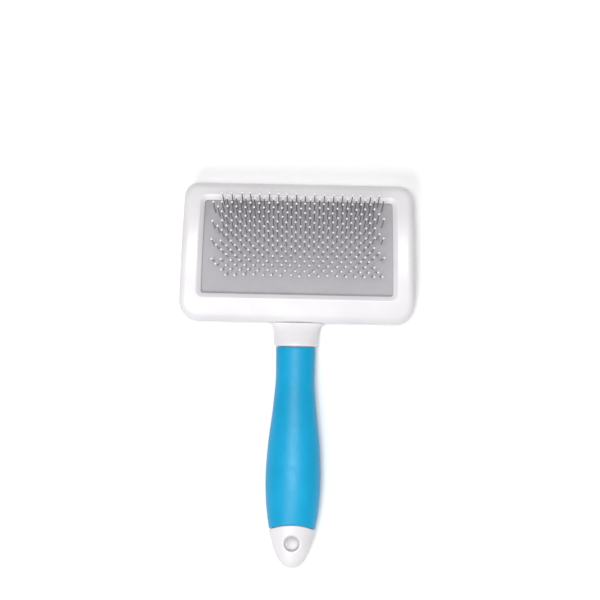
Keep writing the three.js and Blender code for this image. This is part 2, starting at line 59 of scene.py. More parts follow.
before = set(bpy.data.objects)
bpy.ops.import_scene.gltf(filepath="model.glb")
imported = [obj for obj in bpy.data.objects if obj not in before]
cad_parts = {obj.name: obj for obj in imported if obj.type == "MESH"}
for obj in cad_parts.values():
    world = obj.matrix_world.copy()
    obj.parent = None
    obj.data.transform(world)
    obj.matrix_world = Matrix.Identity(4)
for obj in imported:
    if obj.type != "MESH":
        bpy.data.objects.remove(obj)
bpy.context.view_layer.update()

# %% [markdown]
# ## Helpers that every piece uses
#
# Sizes are easiest to read in millimetres, so the shapes are worked out in millimetres and turned
# into metres once, when a mesh is made. Most pieces are **lofts**: a list of rings, each with the
# same number of points, joined by faces. A loft can be open and filled at both ends, as a bowl is,
# or its last ring can meet its first, as in a picture frame.

# %% A mesh from points
def mesh_piece(name, points, faces):
    """A mesh object from points in millimetres, with its faces turned outwards."""
    mesh = bpy.data.meshes.new(name)
    mesh.from_pydata([Vector(point) * MM for point in points], [], faces)
    work = bmesh.new()
    work.from_mesh(mesh)
    if work.calc_volume(signed=True) < 0:
        bmesh.ops.reverse_faces(work, faces=work.faces)
    work.to_mesh(mesh)
    work.free()
    piece = bpy.data.objects.new(name, mesh)
    bpy.context.scene.collection.objects.link(piece)
    return piece


print("one of a mesh's metres holds", round(1 / MM), "of the lesson's millimetres")

# %% A loft through rings
def loft(name, rings, hoop=False):
    """A closed surface through rings of points. A ring of one point closes an end in a tip."""
    points = [point for ring in rings for point in ring]
    starts = [sum(len(ring) for ring in rings[:index]) for index in range(len(rings))]
    faces = []
    for index in range(len(rings) if hoop else len(rings) - 1):
        after = (index + 1) % len(rings)
        here, there = starts[index], starts[after]
        count = max(len(rings[index]), len(rings[after]))
        for step in range(count):
            turn = (step + 1) % count
            if len(rings[index]) == 1:
                faces.append((here, there + turn, there + step))
            elif len(rings[after]) == 1:
                faces.append((here + step, here + turn, there))
            else:
                faces.append((here + step, here + turn, there + turn, there + step))
    if not hoop:
        if len(rings[0]) > 1:
            faces.append(tuple(reversed(range(len(rings[0])))))
        if len(rings[-1]) > 1:
            faces.append(tuple(range(starts[-1], starts[-1] + len(rings[-1]))))
    return mesh_piece(name, points, faces)


def quarter_turn(steps):
    """Angles from nothing to a quarter of a turn."""
    return [math.pi / 2 * step / steps for step in range(steps + 1)]


def blend_value(low, high, share):
    return low + (high - low) * share


print("a quarter turn in three steps:", [round(math.degrees(turn)) for turn in quarter_turn(3)])

# %% Joining and cutting
SOLVER = "MANIFOLD"  # quick and exact on closed meshes, and every piece here is closed


def combine(piece, others, operation):
    """Joins the other meshes to the piece, or cuts them out of it, and removes them."""
    for other in others:
        change = piece.modifiers.new(operation.lower(), "BOOLEAN")
        change.operation = operation
        change.solver = SOLVER
        change.object = other
    ready = piece.evaluated_get(bpy.context.evaluated_depsgraph_get())
    plain = bpy.data.meshes.new_from_object(ready)
    piece.modifiers.clear()
    piece.data = plain
    for other in others:
        bpy.data.objects.remove(other)
    return piece


print("joins and cuts are solved by:", SOLVER)

# %% Finishing a piece
MERGE_DISTANCE = 0.002
CUBIC_CM = 1e6  # in a cubic metre


def finish_piece(piece, material, sharp_deg=38):
    """Smooth shading that breaks at real edges, and the piece's material."""
    work = bmesh.new()
    work.from_mesh(piece.data)
    bmesh.ops.remove_doubles(work, verts=work.verts, dist=MERGE_DISTANCE * MM)
    bmesh.ops.dissolve_degenerate(work, edges=work.edges, dist=MERGE_DISTANCE * MM)
    loose = sum(1 for edge in work.edges if not edge.is_manifold)
    volume = work.calc_volume(signed=True) * CUBIC_CM
    work.to_mesh(piece.data)
    work.free()
    piece.data.shade_smooth()
    piece.data.set_sharp_from_angle(angle=math.radians(sharp_deg))
    piece.data.materials.clear()
    piece.data.materials.append(material)
    print(f"{piece.name}: {len(piece.data.polygons)} faces, {volume:.2f} cm3, {loose} open edges")
    return piece


# %% [markdown]
# ## Floor, light and camera
#
# A product picture of a white object needs a pale floor and soft light. There are two large round
# lamps. One is overhead. The other stands on the handle's side: it brightens every surface that
# faces the handle and leaves the far rail of the frame a little darker. The camera looks almost
# straight down, with a long lens. It stands three degrees towards the handle, and it is rolled by
# about one degree.

# %% Colours, nodes and materials
def linear(colour):
    """An sRGB hex colour as linear red, green, blue and alpha."""
    shares = [int(colour[at : at + 2], 16) / 255 for at in (0, 2, 4)]
    return [s / 12.92 if s <= 0.04045 else ((s + 0.055) / 1.055) ** 2.4 for s in shares] + [1.0]


def add_node(tree, kind, settings=None, links=None):
    """Adds a node. Settings are its sockets' values or its own properties; links feed its sockets."""
    node = tree.nodes.new(kind)
    for name, value in (settings or {}).items():
        if isinstance(name, int) or name in node.inputs:
            node.inputs[name].default_value = value
        else:
            setattr(node, name, value)
    for socket, source in (links or {}).items():
        tree.links.new(source, node.inputs[socket])
    return node


def new_material(name):
    """An empty material with its output, and the tree to build it in."""
    material = bpy.data.materials.new(name)
    material.use_nodes = True
    material.node_tree.nodes.clear()
    return material, material.node_tree


print("half of a screen's white is this much light:", round(linear("808080")[0], 3))

# %% A pale floor
FLOOR_HALF = 1.6
FLOOR_COLOUR = "ffffff"
PAPER_ROUGHNESS = 0.6
FLOOR_DROP = -0.1 * MM  # just under the brush's back, so that the two faces never coincide
floor_paper, tree = new_material("studio_paper")
paper = add_node(
    tree,
    "ShaderNodeBsdfDiffuse",
    {"Color": linear(FLOOR_COLOUR), "Roughness": PAPER_ROUGHNESS},
)
add_node(tree, "ShaderNodeOutputMaterial", links={"Surface": paper.outputs[0]})

floor_corners = []
for across, along in ((-1, -1), (1, -1), (1, 1), (-1, 1)):
    floor_corners.append((across * FLOOR_HALF, along * FLOOR_HALF, FLOOR_DROP))
floor_mesh = bpy.data.meshes.new("floor")
floor_mesh.from_pydata(floor_corners, [], [(0, 1, 2, 3)])
floor = bpy.data.objects.new("floor", floor_mesh)
bpy.context.scene.collection.objects.link(floor)
floor.data.materials.append(floor_paper)
floor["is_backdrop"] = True
print("floor, m:", FLOOR_HALF * 2)

# %% Soft studio light
STUDIO_AIR = "f7f8fb"
AIR_STRENGTH = 0.17
LAMPS = [
    # name, place, size, watts: the key is on the handle's side, the other lamp is overhead
    ("key_light", (-0.25, -0.62, 0.88), 0.50, 4.5),
    ("top_light", (-0.05, 0.05, 1.25), 0.50, 10.4),
]
LAMP_AIM = Vector((0, 0.02, 0))

world = bpy.data.worlds.new("studio")
bpy.context.scene.world = world
world.use_nodes = True
world.node_tree.nodes.clear()
air = add_node(
    world.node_tree,
    "ShaderNodeBackground",
    {"Color": linear(STUDIO_AIR), "Strength": AIR_STRENGTH},
)
add_node(world.node_tree, "ShaderNodeOutputWorld", links={"Surface": air.outputs[0]})

for lamp_name, place, size, watts in LAMPS:
    lamp = bpy.data.lights.new(lamp_name, "AREA")
    lamp.shape = "DISK"
    lamp.size = size
    lamp.energy = watts
    lamp_object = bpy.data.objects.new(lamp_name, lamp)
    bpy.context.scene.collection.objects.link(lamp_object)
    lamp_object.location = place
    lamp_object.rotation_euler = (LAMP_AIM - Vector(place)).to_track_quat("-Z", "Y").to_euler()
bpy.context.scene.view_settings.view_transform = "Standard"
print("lamps:", [lamp[0] for lamp in LAMPS])

# %% The camera
CAMERA_TARGET = Vector((0.0015, 0.0352, 0.018))
CAMERA_DISTANCE = 0.9
CAMERA_TILT_DEG = 3.0
CAMERA_ROLL_DEG = 1.2
SEEN_WIDTH = 0.2805
SENSOR = 36
NEAREST = 0.05
FURTHEST = 10

lens = bpy.data.cameras.new("camera")
lens.sensor_width = SENSOR
lens.lens = SENSOR * CAMERA_DISTANCE / SEEN_WIDTH
lens.clip_start = NEAREST
lens.clip_end = FURTHEST
camera = bpy.data.objects.new("camera", lens)
bpy.context.scene.collection.objects.link(camera)
tilt = Matrix.Rotation(math.radians(CAMERA_TILT_DEG), 4, "X")
roll = Matrix.Rotation(math.radians(CAMERA_ROLL_DEG), 4, "Z")
away = Matrix.Translation((0, 0, CAMERA_DISTANCE))
camera.matrix_world = Matrix.Translation(CAMERA_TARGET) @ tilt @ away @ roll
bpy.context.scene.camera = camera
print("lens, mm:", round(lens.lens, 1))

# %% [markdown]
# ## Materials
#
# Each material starts from the real one: what it is made of and how its surface was made. The
# patterns use Object coordinates, so that they stay put when a piece moves. A noise texture counts
# its waves per metre, so a grain of 0.5 mm needs a scale of 2000.

# %% A pattern of a real size
def pattern(tree, kind, size_mm, settings=None, stretch=(1, 1, 1)):
    """A texture node whose pattern has about that size in millimetres, stretched along an axis."""
    place = add_node(tree, "ShaderNodeTexCoord")
    scaled = add_node(
        tree,
        "ShaderNodeMapping",
        {"Scale": stretch},
        {"Vector": place.outputs["Object"]},
    )
    values = {"Scale": 1 / (size_mm * MM)}
    values.update(settings or {})
    return add_node(tree, kind, values, {"Vector": scaled.outputs[0]})


print("a grain of 0.5 mm has a scale of", round(1 / (0.5 * MM)))

# %% [markdown]
# All the finishes end alike. One pattern blends two tones, one makes the gloss uneven, and up to
# two patterns raise the skin, the second on top of the first. A noise seldom leaves the middle of
# its range, so only that part is spread over the two tones.

# %% The shader that each finish ends in
NOISE_LOW = 0.3
NOISE_HIGH = 0.7
COLOUR_A = 6  # the sockets of a Mix node that hold colours
COLOUR_B = 7
COLOUR_RESULT = 2


def finish_surface(tree, values, tones, gloss, bumps=()):
    """Tones are a pattern and two sRGB colours; gloss is a pattern and two roughnesses.

    A bump is a pattern, its full height in millimetres and its strength."""
    middles = []
    for source, low, high in ((tones[0], 0, 1), gloss):
        settings = {"From Min": NOISE_LOW, "From Max": NOISE_HIGH, "To Min": low, "To Max": high}
        middles.append(add_node(tree, "ShaderNodeMapRange", settings, {"Value": source}).outputs[0])
    mix = add_node(
        tree,
        "ShaderNodeMix",
        {"data_type": "RGBA", COLOUR_A: linear(tones[1]), COLOUR_B: linear(tones[2])},
        {"Factor": middles[0]},
    )
    links = {"Base Color": mix.outputs[COLOUR_RESULT], "Roughness": middles[1]}
    for height, height_mm, strength in bumps:
        under = {"Normal": links["Normal"]} if "Normal" in links else {}
        settings = {"Strength": strength, "Distance": height_mm * MM}
        skin = add_node(tree, "ShaderNodeBump", settings, {"Height": height, **under})
        links["Normal"] = skin.outputs[0]
    shader = add_node(tree, "ShaderNodeBsdfPrincipled", values, links)
    add_node(tree, "ShaderNodeOutputMaterial", links={"Surface": shader.outputs[0]})


print("the part of a noise that is used:", NOISE_LOW, "to", NOISE_HIGH)

# %% [markdown]
# ### White ABS, injection moulded
#
# The tray, the frame and the hanging end. ABS comes out of a polished mould with a semi-gloss
# skin. It is never quite flat: the skin has a slow waviness of a few millimetres, which moulders
# call orange peel, and a faint fine grain. The eye reads both from the broken edge of a highlight.

# %% White ABS
PEEL_SIZE = 2.4
ABS_GRAIN = 0.5  # drawn coarser than life
white_abs, tree = new_material("white_moulded_abs")
clouds = pattern(tree, "ShaderNodeTexNoise", 18, {"Detail": 2.0}).outputs[0]
peel = pattern(tree, "ShaderNodeTexNoise", PEEL_SIZE, {"Detail": 1.0}).outputs[0]
grain = pattern(tree, "ShaderNodeTexNoise", ABS_GRAIN, {"Detail": 2.0}).outputs[0]
finish_surface(
    tree,
    {"IOR": 1.53, "Specular IOR Level": 0.5},
    tones=(clouds, "e8e4e7", "eeebed"),
    gloss=(grain, 0.30, 0.40),
    bumps=[(peel, 0.05, 0.30), (grain, 0.012, 0.25)],
)
print("white ABS, nodes:", len(tree.nodes))

# %% [markdown]
# ### Blue soft-touch rubber
#
# The sleeve is a thermoplastic rubber, moulded over the handle's core. Its mould is spark eroded,
# so the skin is satin with a fine pebble grain, and its highlight is wide and soft.

# %% Blue rubber
PEBBLE_SIZE = 0.6  # real pebbles are half as wide
blue_rubber, tree = new_material("blue_soft_touch_rubber")
clouds = pattern(tree, "ShaderNodeTexNoise", 14, {"Detail": 3.0}, (1, 0.6, 1)).outputs[0]
pebbles = pattern(tree, "ShaderNodeTexVoronoi", PEBBLE_SIZE).outputs["Distance"]
blotches = pattern(tree, "ShaderNodeTexNoise", 3.5, {"Detail": 2.0}).outputs[0]
finish_surface(
    tree,
    {"IOR": 1.50, "Specular IOR Level": 0.35, "Sheen Weight": 0.04, "Sheen Roughness": 0.4},
    tones=(clouds, "089dcc", "12aadc"),
    gloss=(blotches, 0.38, 0.48),
    bumps=[(pebbles, 0.07, 0.50)],
)
print("blue rubber, nodes:", len(tree.nodes))

# %% [markdown]
# ### Grey pad rubber
#
# The pad is a calendered rubber sheet. It is nearly matt, slightly mottled, and a light dust of
# talc from its making shows as paler patches.

# %% Grey rubber
RUBBER_GRAIN = 0.45
grey_rubber, tree = new_material("grey_calendered_rubber")
clouds = pattern(tree, "ShaderNodeTexNoise", 9, {"Detail": 4.0}).outputs[0]
grain = pattern(tree, "ShaderNodeTexNoise", RUBBER_GRAIN, {"Detail": 3.0}).outputs[0]
finish_surface(
    tree,
    {"IOR": 1.52},
    tones=(clouds, "a5a2a7", "b0adb2"),
    gloss=(clouds, 0.50, 0.66),
    bumps=[(grain, 0.04, 0.35)],
)
print("grey rubber, nodes:", len(tree.nodes))

# %% [markdown]
# ### Drawn steel wire, resin beads
#
# The wire is pulled through a die, which leaves fine lines along it. The beads are drops of epoxy
# resin: dip, hang, cure. They are smooth, white and glossy, and a little uneven in colour.

# %% Steel wire and resin
DIE_LINES = 0.25
ALONG_WIRE = (1, 1, 0.06)
steel_wire, tree = new_material("drawn_steel_wire")
lines = pattern(tree, "ShaderNodeTexNoise", DIE_LINES, {"Detail": 2.0}, ALONG_WIRE).outputs[0]
finish_surface(
    tree,
    {"Metallic": 1.0},
    tones=(lines, "8f8f95", "a9a9ae"),
    gloss=(lines, 0.24, 0.40),
)

resin, tree = new_material("white_epoxy_resin")
clouds = pattern(tree, "ShaderNodeTexNoise", 2.5, {"Detail": 1.0}).outputs[0]
finish_surface(
    tree,
    {"IOR": 1.55},
    tones=(clouds, "f7f7f6", "ffffff"),
    gloss=(clouds, 0.12, 0.22),
)
print("steel wire and resin are ready")

# %% [markdown]
# ### What is inside: foam and cloth
#
# The foam is closed-cell EVA, cut from a block, so that its sides show small cells, here 0.7 mm
# wide. The cloth is a plain weave of cotton with a thread every 0.6 mm.

# %% Foam
CELL_SIZE = 0.7
eva_foam, tree = new_material("eva_foam")
cells = pattern(tree, "ShaderNodeTexVoronoi", CELL_SIZE).outputs["Distance"]
clouds = pattern(tree, "ShaderNodeTexNoise", 6, {"Detail": 3.0}).outputs[0]
finish_surface(
    tree,
    {},
    tones=(clouds, "bdbbb6", "cac8c3"),
    gloss=(clouds, 0.85, 0.95),
    bumps=[(cells, 0.15, 0.6)],
)
print("foam, nodes:", len(tree.nodes))

# %% Cotton
THREAD_SPACING = 0.6
WAVE_LENGTH = math.tau / 20  # a wave texture's bands at a scale of 1
cotton, tree = new_material("woven_cotton")
place = add_node(tree, "ShaderNodeTexCoord")
threads = []
for direction in ("X", "Y"):
    settings = {
        "bands_direction": direction,
        "Scale": WAVE_LENGTH / (THREAD_SPACING * MM),
        "Distortion": 0.4,
    }
    wave = add_node(tree, "ShaderNodeTexWave", settings, {"Vector": place.outputs["UV"]})
    threads.append(wave.outputs["Fac"])
weave = add_node(
    tree,
    "ShaderNodeMath",
    {"operation": "MAXIMUM"},
    {0: threads[0], 1: threads[1]},
)
slubs = pattern(tree, "ShaderNodeTexNoise", 3, {"Detail": 3.0}).outputs[0]
finish_surface(
    tree,
    {"Sheen Weight": 0.2},
    tones=(slubs, "cbc5b6", "ded9cd"),
    gloss=(slubs, 0.88, 0.96),
    bumps=[(weave.outputs[0], 0.15, 0.7)],
)
print("materials:", [material.name for material in bpy.data.materials])

# %% [markdown]
# ## The head's outline
#
# In plan the head is a rectangle with round corners that is slightly wider towards the handle.
# Seen from the side, its face is bent round an axis that lies across the brush, below it. So a
# ring round the head is an outline in plan, with a height that depends on the place along it.

# %% The head and its window in plan
HEAD = {
    "top": 90.0,
    "bottom": 24.9,
    "top_half": 53.4,
    "bottom_half": 55.5,
    "top_radius": 6.5,
    "bottom_radius": 9.4,
}
WINDOW = {
    "top": 81.5,
    "bottom": 37.8,
    "top_half": 43.9,
    "bottom_half": 45.1,
    "top_radius": 1.2,
    "bottom_radius": 1.2,
}
print("head, mm long:", round(HEAD["top"] - HEAD["bottom"], 1))
print("window, mm long:", round(WINDOW["top"] - WINDOW["bottom"], 1))

# %% The curved face
FACE_RADIUS = 80
FACE_TOP = 21
CURVE_Y = (WINDOW["top"] + WINDOW["bottom"]) / 2
CURVE_Z = FACE_TOP - FACE_RADIUS
FRAME_DEPTH = 6
GAP = 0.3  # the play between one moulding and the next


def layer_height(radius, y):
    """Height at y of a layer that is bent round the axis below the brush."""
    return CURVE_Z + math.sqrt(radius**2 - (y - CURVE_Y) ** 2)


def face_height(y):
    return layer_height(FACE_RADIUS, y)


def rim_height(y):
    return face_height(y) - FRAME_DEPTH - GAP


print("the face drops towards the far edge by, mm:", round(FACE_TOP - face_height(HEAD["top"]), 2))

# %% Rings round the head
CORNER_STEPS = 14
EDGE_STEPS = 26
LEAST_CORNER = 0.4


def half_width(shape, y):
    share = (y - shape["bottom"]) / (shape["top"] - shape["bottom"])
    return blend_value(shape["bottom_half"], shape["top_half"], share)


def outline(shape, inset):
    """Points round the shape, moved in by inset. Every outline has the same number of points."""
    low_corner = max(shape["bottom_radius"] - inset, LEAST_CORNER)
    high_corner = max(shape["top_radius"] - inset, LEAST_CORNER)
    low = shape["bottom"] + inset + low_corner
    high = shape["top"] - inset - high_corner
    side = []
    for turn in quarter_turn(CORNER_STEPS):
        y = low - low_corner * math.cos(turn)
        side.append((half_width(shape, y) - inset - low_corner * (1 - math.sin(turn)), y))
    for step in range(1, EDGE_STEPS):
        y = blend_value(low, high, step / EDGE_STEPS)
        side.append((half_width(shape, y) - inset, y))
    for turn in quarter_turn(CORNER_STEPS):
        y = high + high_corner * math.sin(turn)
        side.append((half_width(shape, y) - inset - high_corner * (1 - math.cos(turn)), y))
    return side + [(-x, y) for x, y in reversed(side)]


def ring_at(shape, inset, height_of):
    return [(x, y, height_of(y)) for x, y in outline(shape, inset)]


print("points round the head:", len(outline(HEAD, 0)))

# %% [markdown]
# ## The front frame
#
# The frame is one moulding: a channel that is open at the back. Its outer edge is well rounded,
# and its face slopes down to the window, where a lip holds the pad's edge. Eight pegs under it go
# into the tray's bosses. A hoop-shaped loft of rings follows the channel's section all the way
# round, so each radius of the section is simply a few more rings.

# %% The frame's sizes
HEAD_WALL = 2.4
FRAME_ROUNDING = 3.0
FRAME_SKIN = 2.2
FRAME_ROUND_STEPS = 8
FACE_STEPS = 8
SLOPE_WIDTH = 2.0
# how far out from the slope's upper edge, and how deep below the face
SLOPE_SECTION = [
    (0.6, 0),
    (0.3, 0.06),
    (0, 0.24),
    (-0.35, 0.52),
    (-1.65, 1.66),
    (-1.9, 1.92),
    (-2.0, 2.2),
]
LIP_DEPTH = 3.0
LIP_WIDTH = 1.6
LIP_EDGE = 0.2
CHANNEL_FILLET = 0.6
EASING = 0.35  # radius of the small moulded edges
print("the slope to the window, mm wide and deep:", SLOPE_WIDTH, SLOPE_SECTION[-1][1])

# %% The frame's section as rings
def below_face(depth):
    return lambda y: face_height(y) - depth


frame_rings = [ring_at(HEAD, EASING, below_face(FRAME_DEPTH))]
frame_rings.append(ring_at(HEAD, 0, below_face(FRAME_DEPTH - EASING)))
for turn in quarter_turn(FRAME_ROUND_STEPS):
    inset = FRAME_ROUNDING * (1 - math.cos(turn))
    frame_rings.append(ring_at(HEAD, inset, below_face(FRAME_ROUNDING * (1 - math.sin(turn)))))
face_outer = outline(HEAD, FRAME_ROUNDING)
face_inner = outline(WINDOW, -SLOPE_WIDTH - SLOPE_SECTION[0][0])
for step in range(1, FACE_STEPS):
    share = step / FACE_STEPS
    ring = []
    for outer_point, inner_point in zip(face_outer, face_inner):
        x = blend_value(outer_point[0], inner_point[0], share)
        y = blend_value(outer_point[1], inner_point[1], share)
        ring.append((x, y, face_height(y)))
    frame_rings.append(ring)
for step_out, depth in SLOPE_SECTION:
    frame_rings.append(ring_at(WINDOW, -SLOPE_WIDTH - step_out, below_face(depth)))
frame_rings.append(ring_at(WINDOW, 0, below_face(LIP_DEPTH - LIP_EDGE)))
frame_rings.append(ring_at(WINDOW, -LIP_EDGE, below_face(LIP_DEPTH)))
frame_rings.append(ring_at(WINDOW, -LIP_WIDTH, below_face(LIP_DEPTH)))
frame_rings.append(ring_at(WINDOW, -LIP_WIDTH - GAP, below_face(FRAME_SKIN)))
frame_rings.append(ring_at(HEAD, HEAD_WALL + CHANNEL_FILLET, below_face(FRAME_SKIN)))
frame_rings.append(ring_at(HEAD, HEAD_WALL, below_face(FRAME_SKIN + CHANNEL_FILLET)))
frame_rings.append(ring_at(HEAD, HEAD_WALL, below_face(FRAME_DEPTH)))
print("rings in the frame's section:", len(frame_rings))

# %% Where the bosses and pegs stand
PEG_RADIUS = 0.9
PEG_REACH = 3.6
PEG_ROOT = 1.2
PEG_TAPER = 0.3
PEG_TAPER_HEIGHT = 0.4
BOSS_RADIUS = 2.3
BOSS_DROP = 1.0
BOSS_START = 0.45
BOSS_BORE_DEPTH = 3.0
BOSS_INSET = HEAD_WALL + 2
BOSS_ROWS = (36, 57.5, 79)
BOSS_ACROSS = 24
ROUND_STEPS = 24
boss_places = []
for y in BOSS_ROWS:
    for side in (-1, 1):
        boss_places.append((side * (half_width(HEAD, y) - BOSS_INSET), y))
for side in (-1, 1):
    boss_places.append((side * BOSS_ACROSS, HEAD["bottom"] + BOSS_INSET))


def standing_rod(name, x, y, section):
    """A turned rod that stands on end. The section is a list of (radius, height)."""
    rings = []
    for radius, z in section:
        turns = [math.tau * step / ROUND_STEPS for step in range(ROUND_STEPS)]
        rings.append([(x + radius * math.cos(turn), y + radius * math.sin(turn), z) for turn in turns])
    return loft(name, rings)


print("pegs:", len(boss_places))

# %% The finished frame
pegs = []
for x, y in boss_places:
    low = rim_height(y) - PEG_REACH
    high = face_height(y) - PEG_ROOT
    taper = (PEG_RADIUS - PEG_TAPER, low)
    section = [taper, (PEG_RADIUS, low + PEG_TAPER_HEIGHT), (PEG_RADIUS, high)]
    pegs.append(standing_rod("peg", x, y, section))
front_frame = combine(loft("front_frame_moulding", frame_rings, hoop=True), pegs, "UNION")
finish_piece(front_frame, white_abs)
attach(front_frame, "root")
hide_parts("front_frame")

# %% [markdown]
# ## The handle's curve
#
# The handle is a turned shape that was flattened: every cut across it is an ellipse. Its half
# width and half depth are given at a few stations and joined by a smooth curve (a centripetal
# Catmull-Rom spline, which never overshoots). The neck has its own stations, because it flares
# where it runs into the head.

# %% Stations and the smooth curve through them
HANDLE_STATIONS = [
    (13.4, 9.3, 6.8), (6, 9.15, 6.8), (-2, 9.1, 6.9), (-9.5, 9.65, 7.3), (-18.5, 10.5, 8.0),
    (-27.4, 11.6, 8.9), (-36, 12.4, 9.7), (-46, 12.9, 10.25), (-54, 12.8, 10.15), (-62, 12.25, 9.6),
    (-68, 11.45, 8.9), (-72, 10.8, 8.3), (-76, 9.95, 7.5), (-80, 8.85, 6.5), (-84, 7.3, 5.3),
    (-87, 5.45, 4.1), (-89.2, 2.9, 2.3), (-90, 0, 0),
]
NECK_STATIONS = [
    (27, 15.6, 5.2), (25.4, 14.0, 5.2), (24.4, 12.4, 5.3), (23.2, 11.3, 5.5),
    (21.5, 10.75, 5.8), (18.5, 10.4, 6.5), (15, 10.25, 7.1), (13.7, 10.0, 7.1),
]
SPLINE_STEPS = 40
LEAST_TIME = 1e-6


def smooth_curve(stations):
    """Many places on a centripetal Catmull-Rom spline through the stations."""
    knots = [Vector(station) for station in stations]
    knots = [knots[0] * 2 - knots[1]] + knots + [knots[-1] * 2 - knots[-2]]
    places = []
    for a, b, c, d in zip(knots, knots[1:], knots[2:], knots[3:]):
        times = [0.0]
        for first, second in ((a, b), (b, c), (c, d)):
            times.append(times[-1] + max((second - first).length ** 0.5, LEAST_TIME))
        for step in range(SPLINE_STEPS):
            t = blend_value(times[1], times[2], step / SPLINE_STEPS)
            ab = a.lerp(b, (t - times[0]) / (times[1] - times[0]))
            bc = b.lerp(c, (t - times[1]) / (times[2] - times[1]))
            cd = c.lerp(d, (t - times[2]) / (times[3] - times[2]))
            abc = ab.lerp(bc, (t - times[0]) / (times[2] - times[0]))
            bcd = bc.lerp(cd, (t - times[1]) / (times[3] - times[1]))
            places.append(abc.lerp(bcd, (t - times[1]) / (times[2] - times[1])))
    return places + [Vector(stations[-1])]


handle_curve = smooth_curve(HANDLE_STATIONS)
neck_curve = smooth_curve(NECK_STATIONS)
print("handle, mm wide at its belly:", round(2 * max(place[1] for place in handle_curve), 2))

# %% The handle's size and height at a place
GRIP_MID = 10.3
NECK_MID = 6.8
NECK_TOP = 25
MID_RISE = 45


def size_at(curve, y):
    """Half width and half depth of the handle at y."""
    if y >= curve[0][0]:
        return curve[0][1], curve[0][2]
    for here, after in zip(curve, curve[1:]):
        if after[0] <= y:
            share = (here[0] - y) / (here[0] - after[0])
            return blend_value(here[1], after[1], share), blend_value(here[2], after[2], share)
    return curve[-1][1], curve[-1][2]


def mid_height(y):
    share = min(max((NECK_TOP - y) / MID_RISE, 0), 1)
    return blend_value(NECK_MID, GRIP_MID, math.sin(share * math.pi / 2))


print("half width and half depth at y -46:", [round(size, 2) for size in size_at(handle_curve, -46)])

# %% Rings round the handle
RING_SIDES = 72
ARCH_ROUNDS = 12  # rounds in which a point's place along an arch and its place across settle


def handle_ring(curve, end_of, share, start_y, inset=0.0, shrink=1.0):
    """A ring round the handle, part of the way from start_y to the end, which may be an arch.

    The ring lies inset under the surface, or is drawn in to the middle by shrink."""
    ring = []
    for step in range(RING_SIDES):
        turn = math.tau * step / RING_SIDES
        x = 0.0
        for _ in range(ARCH_ROUNDS):
            y = blend_value(start_y, end_of(x), share)
            half, depth = size_at(curve, y)
            x = (half - inset) * shrink * math.sin(turn)
        ring.append((x, y, mid_height(y) + (depth - inset) * shrink * math.cos(turn)))
    return ring


print("points round the handle:", RING_SIDES)

# %% The arched joint
ARCH_RADIUS = 26.4
ARCH_TOP = -69.5


def arch(radius):
    """The arched joint between the sleeve and the hanging end: how far along it is, for each x."""
    return lambda x: ARCH_TOP - ARCH_RADIUS + math.sqrt(radius**2 - x**2)


print("the arch drops at the sleeve's side by, mm:", round(ARCH_TOP - arch(ARCH_RADIUS)(10), 2))

# %% [markdown]
# ## The grip sleeve
#
# The sleeve is a tube that follows the handle. Its lower edge is an arch, so its rings change from
# straight ones at the collar to arched ones at the end. Both of its edges have a small radius, as
# a soft moulding always has. The loft goes down the outside and back up the inside, as a hoop.

# %% The sleeve
SLEEVE_TOP = 13.4
SLEEVE_WALL = 2.0
SLEEVE_STEPS = 64
SOFT_EDGE = 0.5
SOFT_STEPS = 5
sleeve_end = arch(ARCH_RADIUS)
sleeve_rings = []
for turn in quarter_turn(SOFT_STEPS)[:-1]:
    y = SLEEVE_TOP - SOFT_EDGE * (1 - math.cos(turn))
    inset = SOFT_EDGE * (1 - math.sin(turn))
    sleeve_rings.append(handle_ring(handle_curve, sleeve_end, 0, y, inset=inset))
for step in range(SLEEVE_STEPS + 1):
    upper = SLEEVE_TOP - SOFT_EDGE
    share = step / SLEEVE_STEPS
    ring = handle_ring(handle_curve, lambda x: sleeve_end(x) + SOFT_EDGE, share, upper)
    sleeve_rings.append(ring)
for turn in quarter_turn(SOFT_STEPS)[1:]:
    lift = SOFT_EDGE * (1 - math.sin(turn))
    inset = SOFT_EDGE * (1 - math.cos(turn))
    ring = handle_ring(handle_curve, lambda x: sleeve_end(x) + lift, 1, 0, inset=inset)
    sleeve_rings.append(ring)
for step in range(SLEEVE_STEPS // 2 + 1):
    share = 1 - step / (SLEEVE_STEPS // 2)
    sleeve_rings.append(handle_ring(handle_curve, sleeve_end, share, SLEEVE_TOP, inset=SLEEVE_WALL))
grip_sleeve = loft("grip_sleeve_moulding", sleeve_rings, hoop=True)
finish_piece(grip_sleeve, blue_rubber)
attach(grip_sleeve, "root")
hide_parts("grip_sleeve")

# %% [markdown]
# ## The body
#
# The tray, the neck, the handle's core and the hanging end come out of one mould. Each is a loft,
# and they are joined into one mesh. Then the bosses are bored and the hanging hole is cut. The
# hole's cutter follows the handle's surface, so that its rim gets the same radius all round.

